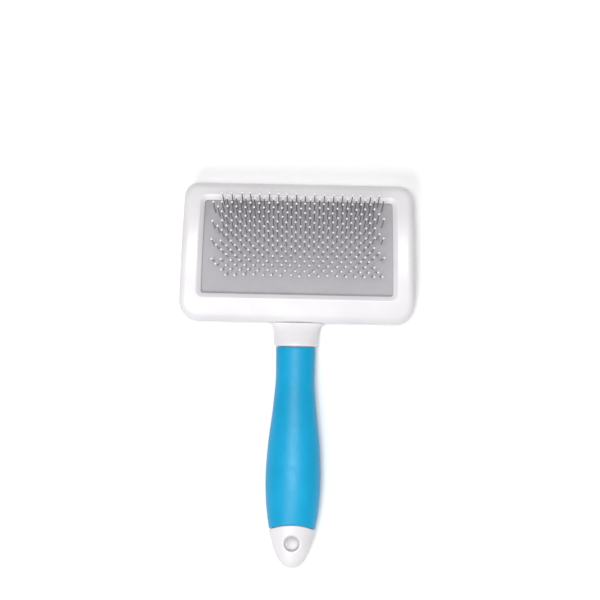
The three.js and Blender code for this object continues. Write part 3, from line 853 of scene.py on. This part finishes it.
# %% The tray
TRAY_FLOOR = 2.2
BACK_ROUNDING = 7.0
BACK_STEPS = 14
BACK_SHARE = 0.85  # how much of the side's height the back's rounding takes up
HOLLOW_ROUNDING = 6
HOLLOW_STEPS = 8
HOLLOW_SHARE = 0.8
HOLLOW_LESS = 1.5
tray_rings = []
for turn in quarter_turn(BACK_STEPS):
    inset = BACK_ROUNDING * (1 - math.sin(turn))
    rise = BACK_SHARE * (1 - math.cos(turn))
    tray_rings.append(ring_at(HEAD, inset, lambda y: rise * rim_height(y)))
tray_rings.append(ring_at(HEAD, 0, lambda y: rim_height(y) - EASING))
tray_rings.append(ring_at(HEAD, EASING, rim_height))
tray_rings.append(ring_at(HEAD, HEAD_WALL, rim_height))
for turn in reversed(quarter_turn(HOLLOW_STEPS)):
    inset = HEAD_WALL + HOLLOW_ROUNDING * (1 - math.sin(turn))
    rise = 1 - math.cos(turn)
    ring = ring_at(
        HEAD,
        inset,
        lambda y: TRAY_FLOOR + rise * (HOLLOW_SHARE * rim_height(y) - HOLLOW_LESS),
    )
    tray_rings.append(ring)
tray = loft("body_shell_moulding", tray_rings)
print("rings in the tray:", len(tray_rings))

# %% The neck
NECK_END = 13.7
NECK_EDGE = 0.7
NECK_EDGE_STEPS = 6
HANDLE_STEPS = 40
neck_rings = []
for step in range(HANDLE_STEPS + 1):
    share = step / HANDLE_STEPS
    ring = handle_ring(neck_curve, lambda x: NECK_END + NECK_EDGE, share, NECK_STATIONS[0][0])
    neck_rings.append(ring)
for turn in quarter_turn(NECK_EDGE_STEPS)[1:]:
    y = NECK_END + NECK_EDGE * (1 - math.sin(turn))
    inset = NECK_EDGE * (1 - math.cos(turn))
    neck_rings.append(handle_ring(neck_curve, lambda x: y, 1, 0, inset=inset))
neck = loft("neck", neck_rings)
print("rings in the neck:", len(neck_rings))

# %% [markdown]
# The frame sits over the neck's root, so the neck is cut away up to the tray's rim. The cutter is
# a block whose underside follows the rim.

# %% Room for the frame over the neck
ROOM_GAP = 0.12
ROOM_END = 36
ROOM_TOP = 40
ROOM_HALF = 19
ROOM_STEPS = 12
ROOM_SINK = 0.02
room_start = HEAD["bottom"] - ROOM_GAP
room_section = [(ROOM_END, ROOM_TOP), (room_start, ROOM_TOP)]
for step in range(ROOM_STEPS + 1):
    y = blend_value(room_start, ROOM_END, step / ROOM_STEPS)
    room_section.append((y, rim_height(max(y, HEAD["bottom"])) - ROOM_SINK))
room_sides = [[(side * ROOM_HALF, y, z) for y, z in room_section] for side in (-1, 1)]
combine(neck, [loft("frame_room", room_sides)], "DIFFERENCE")
print("neck, faces:", len(neck.data.polygons))

# %% The core under the sleeve
CORE_OVERLAP = 3
CORE_END = -76
core_rings = []
for step in range(HANDLE_STEPS + 1):
    y = blend_value(SLEEVE_TOP + CORE_OVERLAP, CORE_END, step / HANDLE_STEPS)
    core_rings.append(handle_ring(handle_curve, lambda x: y, 1, 0, inset=SLEEVE_WALL + GAP))
core = loft("core", core_rings)
print("core, mm long:", round(SLEEVE_TOP + CORE_OVERLAP - CORE_END, 1))

# %% The hanging end
HANDLE_END = -90.0
CAP_SHARES = (0.2, 0.4, 0.6, 0.8)
end_start = arch(ARCH_RADIUS - GAP)
end_rings = [[(0.0, end_start(0), mid_height(end_start(0)))]]
for shrink in CAP_SHARES:
    end_rings.append(handle_ring(handle_curve, end_start, 1, 0, inset=SOFT_EDGE, shrink=shrink))
for turn in quarter_turn(SOFT_STEPS):
    drop = SOFT_EDGE * (1 - math.cos(turn))
    inset = SOFT_EDGE * (1 - math.sin(turn))
    ring = handle_ring(handle_curve, lambda x: end_start(x) - drop, 1, 0, inset=inset)
    end_rings.append(ring)
for step in range(1, HANDLE_STEPS):
    share = (1 - step / HANDLE_STEPS) ** 2
    ring = handle_ring(handle_curve, lambda x: end_start(x) - SOFT_EDGE, share, HANDLE_END)
    end_rings.append(ring)
end_rings.append([(0.0, HANDLE_END, mid_height(HANDLE_END))])
hanging_end = loft("hanging_end", end_rings)
print("rings in the hanging end:", len(end_rings))

# %% Bosses and their bores
OVERRUN = 1  # how far a drill starts above the boss
bosses = []
bores = []
for x, y in boss_places:
    top = rim_height(y) - BOSS_DROP
    root = BOSS_START * rim_height(y)
    bosses.append(standing_rod("boss", x, y, [(BOSS_RADIUS, root), (BOSS_RADIUS, top)]))
    low = top - BOSS_BORE_DEPTH
    bore_radius = PEG_RADIUS + GAP
    bores.append(standing_rod("bore", x, y, [(bore_radius, low), (bore_radius, top + OVERRUN)]))
print("bosses:", len(bosses))

# %% The hanging hole's cutter
HOLE_Y = -78.4
HOLE_RADIUS = 3.4
HOLE_ROUNDING = 1.3
HOLE_SIDES = 64
RIM_SWEEP_DEG = 72
RIM_STEPS = 7
RIM_SPARE = 0.6
CUTTER_TOP = 3.0


def surface_height(x, y, side):
    """Height of the handle's surface above (x, y), on its front (1) or its back (-1)."""
    half, depth = size_at(handle_curve, y)
    return mid_height(y) + side * depth * math.sqrt(max(1 - (x / half) ** 2, 0))


def hole_ring(radius, lift, side):
    """A ring of the cutter that stays the same height above the handle's surface all round."""
    ring = []
    for step in range(HOLE_SIDES):
        turn = math.tau * step / HOLE_SIDES
        x = radius * math.cos(turn)
        y = HOLE_Y + radius * math.sin(turn)
        ring.append((x, y, surface_height(x, y, side) + side * lift))
    return ring


rim_section = []
for step in range(RIM_STEPS + 1):
    turn = math.radians(RIM_SWEEP_DEG) * step / RIM_STEPS
    radius = HOLE_RADIUS + HOLE_ROUNDING * (1 - math.cos(turn))
    rim_section.append((radius, HOLE_ROUNDING * (math.sin(turn) - 1)))
radius, lift = rim_section[-1]
spare_lift = RIM_SPARE * math.tan(math.radians(90 - RIM_SWEEP_DEG))
rim_section.append((radius + RIM_SPARE, lift + spare_lift))
rim_section.append((radius + RIM_SPARE, CUTTER_TOP))
hole_rings = [hole_ring(radius, lift, -1) for radius, lift in reversed(rim_section)]
hole_rings += [hole_ring(radius, lift, 1) for radius, lift in rim_section]
hole_cutter = loft("hole_cutter", hole_rings)
print("hanging hole, mm:", 2 * HOLE_RADIUS)

# %% One moulding
body = combine(tray, [neck, core, hanging_end] + bosses, "UNION")
combine(body, bores + [hole_cutter], "DIFFERENCE")
finish_piece(body, white_abs)
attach(body, "root")
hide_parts("body_shell")

# %% [markdown]
# ## The cushion: foam, cloth and rubber pad
#
# Three layers make the head springy. A block of foam lies in the tray. On it lies a cotton cloth
# with the wires' crowns under it, and the rubber pad closes it at the top. The pad is stiff enough
# to need no cloth simulation: the frame's lip holds it in the head's curve, and each wire draws
# its skin in by a little where it comes through. So the pad is a fine grid that is bent round the
# head's axis, with a dimple at every pin.

# %% Where the pins stand
ROWS = 18
PINS = 18
PITCH = 4.19
CYCLE = 4
FIRST_STEP = 2
FIRST_ROW_DEG = 15.0
LAST_ROW_DEG = -9.4
LIP_SPARE = 0.4
PAD_RADIUS = FACE_RADIUS - LIP_DEPTH - LIP_SPARE
PAD_THICK = 1.6
PAD_HALF = 46.6
PAD_HALF_DEG = 18.0
ROW_STEP_DEG = (FIRST_ROW_DEG - LAST_ROW_DEG) / (ROWS - 1)


def pin_feet():
    """The places of all the pins: across the head in mm, and their row's angle in degrees."""
    feet = []
    for row in range(ROWS):
        shift = ((row + FIRST_STEP) % CYCLE - (CYCLE - 1) / 2) * PITCH / 2
        for pin in range(PINS):
            feet.append(((pin - (PINS - 1) / 2) * PITCH + shift, FIRST_ROW_DEG - row * ROW_STEP_DEG))
    return feet


def on_layer(x, angle_deg, radius):
    turn = math.radians(angle_deg)
    return (x, CURVE_Y + radius * math.sin(turn), CURVE_Z + radius * math.cos(turn))


print("pins:", len(pin_feet()))

# %% [markdown]
# A curved layer is two grids, an upper and a lower one, closed along their four edges. The grid's
# lines pass through the pins: an eighth of the pins' spacing across, and a quarter of the rows'
# step along. That way a dimple is one moved point and its neighbours.

# %% A bent layer
BACK_DIP = 0.5  # a layer's back follows the dip of its edge by half


def bent_layer(name, columns, rows, radius, thick, dimples=None, dimple_mm=0.0, edge=0.0):
    """A closed sheet bent round the head's axis, with its flat plan as its UV map in metres."""
    points = []
    for depth in (0.0, thick):
        for j, angle in enumerate(rows):
            for i, x in enumerate(columns):
                low = edge if i in (0, len(columns) - 1) or j in (0, len(rows) - 1) else 0.0
                if depth == 0.0 and dimples:
                    low = low + dimple_mm * dimples.get((i, j), 0.0)
                sink = low if depth == 0.0 else -low * BACK_DIP
                points.append(on_layer(x, angle, radius - depth - sink))
    wide = len(columns)
    tall = len(rows)
    below = wide * tall
    faces = []
    for j in range(tall - 1):
        for i in range(wide - 1):
            at = j * wide + i
            faces.append((at, at + 1, at + wide + 1, at + wide))
            faces.append((below + at, below + at + wide, below + at + wide + 1, below + at + 1))
    for j in range(tall - 1):
        for at in (j * wide, j * wide + wide - 1):
            side = (at, at + wide, below + at + wide, below + at)
            faces.append(side if at % wide == 0 else tuple(reversed(side)))
    for i in range(wide - 1):
        for at in (i, (tall - 1) * wide + i):
            side = (at + 1, at, below + at, below + at + 1)
            faces.append(side if at < wide else tuple(reversed(side)))
    piece = mesh_piece(name, points, faces)
    plan = piece.data.uv_layers.new(name="plan")
    for loop in piece.data.loops:
        index = loop.vertex_index % below
        u = columns[index % wide] * MM
        v = math.radians(rows[index // wide]) * radius * MM
        plan.data[loop.index].uv = (u, v)
    return piece


print("a layer's back follows the dip of its edge by", BACK_DIP)

# %% Even lines across a layer
def grid_lines(half, step, offset=0.0):
    """Even lines from -half to half, with one line at offset, and one line at each end."""
    first = math.ceil((-half - offset) / step + 0.5)
    last = math.floor((half - offset) / step - 0.5)
    return [-half] + [offset + step * line for line in range(first, last + 1)] + [half]


print("lines over 10 mm, 2 mm apart:", grid_lines(5, 2))

# %% The pad's grid and its dimples
DIMPLE_DEPTH = 0.45
DIMPLE_SHARES = {0: 1.0, 1: 0.3, 2: 0.1}  # how deep the points round a pin go, by their steps away
PAD_EDGE = 0.25
columns = grid_lines(PAD_HALF, PITCH / 8, PITCH / 4)
angles = grid_lines(PAD_HALF_DEG, ROW_STEP_DEG / 4, FIRST_ROW_DEG)
dimples = {}
for foot_x, foot_deg in pin_feet():
    i = min(range(len(columns)), key=lambda k: abs(columns[k] - foot_x))
    j = min(range(len(angles)), key=lambda k: abs(angles[k] - foot_deg))
    for di in (-1, 0, 1):
        for dj in (-1, 0, 1):
            share = DIMPLE_SHARES[abs(di) + abs(dj)]
            dimples[(i + di, j + dj)] = max(share, dimples.get((i + di, j + dj), 0.0))
print("pad grid:", len(columns), "by", len(angles))

# %% The rubber pad
pad = bent_layer(
    "pad_sheet_rubber",
    columns,
    angles,
    PAD_RADIUS,
    PAD_THICK,
    dimples,
    DIMPLE_DEPTH,
    edge=PAD_EDGE,
)
finish_piece(pad, grey_rubber, sharp_deg=50)
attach(pad, "cushion")
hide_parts("pad_sheet")

# %% The foundation cloth
CLOTH_THICK = 0.6
CLOTH_RADIUS = PAD_RADIUS - PAD_THICK - GAP
CLOTH_STEP = 1.2
CLOTH_STEP_DEG = 0.9
CLOTH_EDGE = 0.08
cloth = bent_layer(
    "foundation_cloth_weave",
    grid_lines(PAD_HALF, CLOTH_STEP),
    grid_lines(PAD_HALF_DEG, CLOTH_STEP_DEG),
    CLOTH_RADIUS,
    CLOTH_THICK,
    edge=CLOTH_EDGE,
)
finish_piece(cloth, cotton)
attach(cloth, "cushion")
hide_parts("foundation_cloth")

# %% [markdown]
# The foam block has a curved top, straight sides that pull in a little at half height, and soft
# edges. In the real brush it flattens when the pad is pressed down; here it is not made to squash.

# %% The foam's sizes
FOAM_HALF_LENGTH = 21.3
FOAM = {
    "top": CURVE_Y + FOAM_HALF_LENGTH,
    "bottom": CURVE_Y - FOAM_HALF_LENGTH,
    "top_half": 44.5,
    "bottom_half": 44.5,
    "top_radius": 2.5,
    "bottom_radius": 2.5,
}
CROWN_RADIUS = CLOTH_RADIUS - CLOTH_THICK - GAP
WIRE_THICK = 0.46
FOAM_RADIUS = CROWN_RADIUS - WIRE_THICK - GAP
FOAM_FLOOR = TRAY_FLOOR + GAP
FOAM_EDGE = 1.4
FOAM_EDGE_STEPS = 6
FOAM_SIDE_STEPS = 10
FOAM_TOP_STEPS = 12
FOAM_PULL = 0.5


def foam_top(y):
    return layer_height(FOAM_RADIUS, y)


print("foam, mm thick in the middle:", round(foam_top(CURVE_Y) - FOAM_FLOOR, 2))

# %% The foam block
foam_rings = []
for turn in quarter_turn(FOAM_EDGE_STEPS):
    lift = FOAM_EDGE * (1 - math.cos(turn))
    foam_rings.append(ring_at(FOAM, FOAM_EDGE * (1 - math.sin(turn)), lambda y: FOAM_FLOOR + lift))
low = FOAM_FLOOR + FOAM_EDGE
for step in range(1, FOAM_SIDE_STEPS):
    share = step / FOAM_SIDE_STEPS
    inset = FOAM_PULL * math.sin(share * math.pi)
    ring = ring_at(FOAM, inset, lambda y: blend_value(low, foam_top(y) - FOAM_EDGE, share))
    foam_rings.append(ring)
for turn in quarter_turn(FOAM_EDGE_STEPS):
    drop = FOAM_EDGE * (1 - math.sin(turn))
    foam_rings.append(ring_at(FOAM, FOAM_EDGE * (1 - math.cos(turn)), lambda y: foam_top(y) - drop))
inner_ring = outline(FOAM, FOAM_EDGE)
for step in range(1, FOAM_TOP_STEPS):
    share = 1 - step / FOAM_TOP_STEPS
    ring = [(x, CURVE_Y + (y - CURVE_Y) * share) for x, y in inner_ring]
    foam_rings.append([(x * share, y, foam_top(y)) for x, y in ring])
foam_rings.append([(0.0, CURVE_Y, foam_top(CURVE_Y))])
foam = loft("foam_cushion_block", foam_rings)
finish_piece(foam, eva_foam)
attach(foam, "root")
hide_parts("foam_cushion")
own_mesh(foam)

# %% [markdown]
# ## The pins
#
# There are 324 pins in 18 rows, and a row is always half a pitch away from the one before. The
# wire comes up square to the curved pad, bends at a knee by eight degrees towards the far end, and
# ends in a bead. That is a rule, so Geometry Nodes make it. One tree makes a point for each pin,
# turns it with its row, lets it lean out with its place across the head, and adds the small errors
# of a machine that bends wire. The same tree is used twice: once it puts wires on the points and
# once beads, and the same seed makes sure that they meet.

# %% The tree: its inputs
KNEE_HEIGHT = 7
PIN_HEIGHT = 14
BEAD_OVERLAP = 0.6
ROUND_ALLOWANCE = 1.08  # a six-sided wire is as thick as a round one on average
BEAD_RADIUS = 0.55
KNEE_BEND_DEG = 8
SIDE_LEAN = 0.020
UNEVENNESS_DEG = 1.1
crown_depth = PAD_RADIUS - CROWN_RADIUS + WIRE_THICK / 2
pin_tree = bpy.data.node_groups.new("sprung_pins", "GeometryNodeTree")
pin_tree.interface.new_socket("Geometry", in_out="OUTPUT", socket_type="NodeSocketGeometry")
PIN_INPUTS = {
    "Rows": ("NodeSocketInt", ROWS),
    "Pins in a row": ("NodeSocketInt", PINS),
    "Pitch": ("NodeSocketFloat", PITCH * MM),
    "Rows in a cycle": ("NodeSocketInt", CYCLE),
    "First step": ("NodeSocketInt", FIRST_STEP),
    "First row angle": ("NodeSocketFloat", math.radians(FIRST_ROW_DEG)),
    "Last row angle": ("NodeSocketFloat", math.radians(LAST_ROW_DEG)),
    "Bend centre": ("NodeSocketVector", (0.0, CURVE_Y * MM, CURVE_Z * MM)),
    "Foot radius": ("NodeSocketFloat", (CROWN_RADIUS - WIRE_THICK / 2) * MM),
    "Wire radius": ("NodeSocketFloat", WIRE_THICK / 2 * ROUND_ALLOWANCE * MM),
    "Knee height": ("NodeSocketFloat", (crown_depth + KNEE_HEIGHT) * MM),
    "Leg length": ("NodeSocketFloat", (crown_depth + PIN_HEIGHT - BEAD_OVERLAP) * MM),
    "Knee bend": ("NodeSocketFloat", math.radians(KNEE_BEND_DEG)),
    "Bead radius": ("NodeSocketFloat", BEAD_RADIUS * MM),
    "Lean": ("NodeSocketFloat", SIDE_LEAN / (PIN_HEIGHT * MM)),
    "Unevenness": ("NodeSocketFloat", math.radians(UNEVENNESS_DEG)),
    "Seed": ("NodeSocketInt", 7),
    "Beads": ("NodeSocketBool", False),
    "Material": ("NodeSocketMaterial", steel_wire),
}
for input_name, (socket_type, value) in PIN_INPUTS.items():
    socket = pin_tree.interface.new_socket(input_name, in_out="INPUT", socket_type=socket_type)
    if socket_type != "NodeSocketMaterial":
        socket.default_value = value
given = add_node(pin_tree, "NodeGroupInput").outputs
known = {input_name: given[input_name] for input_name in PIN_INPUTS}
print("inputs of the pin tree:", len(known))

# %% [markdown]
# The tree needs nearly fifty sums. They are easiest to read as a table: what each one gives, its
# operation, and what it works on, which is an input, an earlier result or a number. Besides the
# inputs, the sums know each pin's index, the height along a leg, and two random errors. The
# errors are drawn for each pin from a fixed seed, so every run gives the same brush.

# %% The tree: what the sums start from
known["index"] = add_node(pin_tree, "GeometryNodeInputIndex").outputs[0]
leg_place = add_node(pin_tree, "GeometryNodeInputPosition").outputs[0]
leg_split = add_node(pin_tree, "ShaderNodeSeparateXYZ", links={0: leg_place})
known["height on leg"] = leg_split.outputs["Z"]
for channel, error_name in enumerate(("turn error", "lean error")):
    error_seed = add_node(
        pin_tree,
        "ShaderNodeMath",
        {"operation": "ADD", 1: float(channel)},
        {0: given["Seed"]},
    )
    error = add_node(
        pin_tree,
        "FunctionNodeRandomValue",
        {"data_type": "FLOAT", 2: -1.0, 3: 1.0},
        {"Seed": error_seed.outputs[0]},
    )
    known[error_name] = error.outputs[1]
print("known before the sums:", len(known))

# %% The tree: its sums
NUDGE = 0.001  # keeps a whole number from being rounded down by one
PIN_SUMS = [
    # which row and which pin of the row
    ("pins in all", "MULTIPLY", "Rows", "Pins in a row"),
    ("middle of index", "ADD", "index", 0.5),
    ("rows passed", "DIVIDE", "middle of index", "Pins in a row"),
    ("row", "FLOOR", "rows passed"),
    ("pins before row", "MULTIPLY", "row", "Pins in a row"),
    ("pin", "SUBTRACT", "index", "pins before row"),
    # the row's sideways step in its cycle
    ("row in cycle", "ADD", "row", "First step"),
    ("row in cycle, nudged", "ADD", "row in cycle", NUDGE),
    ("place in cycle", "MODULO", "row in cycle, nudged", "Rows in a cycle"),
    ("step", "FLOOR", "place in cycle"),
    ("last step", "SUBTRACT", "Rows in a cycle", 1.0),
    ("middle step", "DIVIDE", "last step", 2.0),
    ("steps off middle", "SUBTRACT", "step", "middle step"),
    ("half pitch", "DIVIDE", "Pitch", 2.0),
    ("shift", "MULTIPLY", "steps off middle", "half pitch"),
    # the foot's place across the head, and the row's angle
    ("last pin", "SUBTRACT", "Pins in a row", 1.0),
    ("middle pin", "DIVIDE", "last pin", 2.0),
    ("pins off middle", "SUBTRACT", "pin", "middle pin"),
    ("foot x", "MULTIPLY_ADD", "pins off middle", "Pitch", "shift"),
    ("last row", "SUBTRACT", "Rows", 1.0),
    ("row share", "DIVIDE", "row", "last row"),
    ("angle range", "SUBTRACT", "Last row angle", "First row angle"),
    ("row angle", "MULTIPLY_ADD", "row share", "angle range", "First row angle"),
    ("row sine", "SINE", "row angle"),
    ("foot y", "MULTIPLY", "row sine", "Foot radius"),
    ("row cosine", "COSINE", "row angle"),
    ("foot z", "MULTIPLY", "row cosine", "Foot radius"),
    # how a leg turns, and which pins start a staple's crown
    ("row turn", "MULTIPLY", "row angle", -1.0),
    ("uneven turn", "MULTIPLY", "turn error", "Unevenness"),
    ("leg turn", "ADD", "row turn", "uneven turn"),
    ("lean slope", "MULTIPLY", "foot x", "Lean"),
    ("lean angle", "ARCTANGENT", "lean slope"),
    ("uneven lean", "MULTIPLY", "lean error", "Unevenness"),
    ("leg lean", "ADD", "lean angle", "uneven lean"),
    ("pin, nudged", "ADD", "pin", NUDGE),
    ("leg of staple", "MODULO", "pin, nudged", 2.0),
    ("starts a crown", "LESS_THAN", "leg of staple", 1.0),
    # the knee, and the bead at the end
    ("over knee", "SUBTRACT", "height on leg", "Knee height"),
    ("above knee", "MAXIMUM", "over knee", 0.0),
    ("bend sine", "SINE", "Knee bend"),
    ("bend cosine", "COSINE", "Knee bend"),
    ("bend drop", "SUBTRACT", "bend cosine", 1.0),
    ("knee y", "MULTIPLY", "above knee", "bend sine"),
    ("knee z", "MULTIPLY", "above knee", "bend drop"),
    ("bead reach", "SUBTRACT", "Leg length", "Knee height"),
    ("bead y", "MULTIPLY", "bead reach", "bend sine"),
    ("bead z", "MULTIPLY_ADD", "bead reach", "bend cosine", "Knee height"),
]
for result, operation, *terms in PIN_SUMS:
    settings = {"operation": operation}
    sources = {}
    for place, term in enumerate(terms):
        if isinstance(term, str):
            sources[place] = known[term]
        else:
            settings[place] = term
    known[result] = add_node(pin_tree, "ShaderNodeMath", settings, sources).outputs[0]
print("sums:", len(PIN_SUMS))

# %% [markdown]
# Some of the sums belong together as places, shifts or turns. A pin's turn is its row's angle and
# its lean, each with its small error. A staple's crown turns with the row only.

# %% The tree: places and turns
PIN_VECTORS = [
    ("foot", {"X": "foot x", "Y": "foot y", "Z": "foot z"}),
    ("turn of leg", {"X": "leg turn", "Y": "leg lean"}),
    ("turn of crown", {"X": "row turn"}),
    ("end of leg", {"Z": "Leg length"}),
    ("shift above knee", {"Y": "knee y", "Z": "knee z"}),
    ("end of crown", {"X": "Pitch"}),
    ("place of bead", {"Y": "bead y", "Z": "bead z"}),
]
for result, parts in PIN_VECTORS:
    sources = {axis: known[part] for axis, part in parts.items()}
    known[result] = add_node(pin_tree, "ShaderNodeCombineXYZ", links=sources).outputs[0]
print("places and turns:", len(PIN_VECTORS))

# %% The tree: a point for each pin
points = add_node(pin_tree, "GeometryNodePoints", links={"Count": known["pins in all"]})
place = add_node(
    pin_tree,
    "ShaderNodeVectorMath",
    {"operation": "ADD"},
    {0: known["foot"], 1: known["Bend centre"]},
)
standing = add_node(
    pin_tree,
    "GeometryNodeSetPosition",
    links={"Geometry": points.outputs[0], "Position": place.outputs[0]},
)
print("nodes so far:", len(pin_tree.nodes))

# %% The tree: one leg and one crown
LEG_STEPS = 7
WIRE_SIDES = 6
leg_line = add_node(
    pin_tree,
    "GeometryNodeCurvePrimitiveLine",
    links={"End": known["end of leg"]},
)
leg_points = add_node(
    pin_tree,
    "GeometryNodeResampleCurve",
    {"Count": LEG_STEPS},
    {"Curve": leg_line.outputs[0]},
)
bent_leg = add_node(
    pin_tree,
    "GeometryNodeSetPosition",
    links={"Geometry": leg_points.outputs[0], "Offset": known["shift above knee"]},
)
crown_line = add_node(
    pin_tree,
    "GeometryNodeCurvePrimitiveLine",
    links={"End": known["end of crown"]},
)
wire_round = add_node(
    pin_tree,
    "GeometryNodeCurvePrimitiveCircle",
    {"Resolution": WIRE_SIDES},
    {"Radius": given["Wire radius"]},
)
swept = []
for curve in (bent_leg, crown_line):
    wire = add_node(
        pin_tree,
        "GeometryNodeCurveToMesh",
        {"Fill Caps": True},
        {"Curve": curve.outputs[0], "Profile Curve": wire_round.outputs[0]},
    )
    swept.append(wire)
print("nodes so far:", len(pin_tree.nodes))

# %% The tree: one bead
BEAD_SIDES = 8
BEAD_RINGS = 6
BEAD_STRETCH = (1.0, 1.0, 1.12)  # a drop that hangs while it cures is a little longer than wide
ball = add_node(
    pin_tree,
    "GeometryNodeMeshUVSphere",
    {"Segments": BEAD_SIDES, "Rings": BEAD_RINGS},
    {"Radius": given["Bead radius"]},
)
bead_shape = add_node(
    pin_tree,
    "GeometryNodeTransform",
    {"Scale": BEAD_STRETCH},
    {"Geometry": ball.outputs[0], "Translation": known["place of bead"]},
)
print("nodes so far:", len(pin_tree.nodes))

# %% The tree: put them on the points
placed = []
for shape, turn, selection in (
    (swept[0], "turn of leg", {}),
    (swept[1], "turn of crown", {"Selection": known["starts a crown"]}),
    (bead_shape, "turn of leg", {}),
):
    links = {"Points": standing.outputs[0], "Instance": shape.outputs[0], "Rotation": known[turn]}
    links.update(selection)
    placed.append(add_node(pin_tree, "GeometryNodeInstanceOnPoints", links=links).outputs[0])
legs, crowns, beads = placed
wires = add_node(pin_tree, "GeometryNodeJoinGeometry")
pin_tree.links.new(legs, wires.inputs[0])
pin_tree.links.new(crowns, wires.inputs[0])
chosen = add_node(
    pin_tree,
    "GeometryNodeSwitch",
    {"input_type": "GEOMETRY"},
    {"Switch": given["Beads"], "False": wires.outputs[0], "True": beads},
)
real = add_node(pin_tree, "GeometryNodeRealizeInstances", links={0: chosen.outputs[0]})
painted = add_node(
    pin_tree,
    "GeometryNodeSetMaterial",
    links={"Geometry": real.outputs[0], "Material": given["Material"]},
)
add_node(pin_tree, "NodeGroupOutput", links={0: painted.outputs[0]})
print("nodes in the pin tree:", len(pin_tree.nodes))

# %% The tree's result as a plain mesh
ROUND_DEG = 70  # shades a six-sided wire as if it were round


def grow(name, choices):
    """Runs the pin tree with these inputs and keeps its result as a plain mesh."""
    seed_mesh = bpy.data.meshes.new(name)
    piece = bpy.data.objects.new(name, seed_mesh)
    bpy.context.scene.collection.objects.link(piece)
    modifier = piece.modifiers.new("pins", "NODES")
    modifier.node_group = pin_tree
    for item in pin_tree.interface.items_tree:
        if item.item_type == "SOCKET" and item.in_out == "INPUT":
            modifier[item.identifier] = choices.get(item.name, PIN_INPUTS[item.name][1])
    ready = piece.evaluated_get(bpy.context.evaluated_depsgraph_get())
    plain = bpy.data.meshes.new_from_object(ready)
    piece.modifiers.clear()
    piece.data = plain
    return piece


print("edges look smooth up to, degrees:", ROUND_DEG)

# %% The wires
pin_nodes = [f"pin_row_{row + 1:02d}" for row in range(ROWS)]
pin_wires = grow("pin_wires", {"Beads": False, "Material": steel_wire})
finish_piece(pin_wires, steel_wire, sharp_deg=ROUND_DEG)
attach(pin_wires, "cushion")
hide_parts(*pin_nodes)

# %% The beads
pin_beads = grow("pin_beads", {"Beads": True, "Material": resin})
finish_piece(pin_beads, resin, sharp_deg=ROUND_DEG)
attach(pin_beads, "cushion")

# %% [markdown]
# ## The size and the end
#
# The looks must not make the brush bigger or smaller than the working model, so the box round
# the looks is printed in millimetres.

# %% Sizes and the last line
low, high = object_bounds()
print("looks, mm:", [round((top - bottom) / MM, 2) for bottom, top in zip(low, high)])
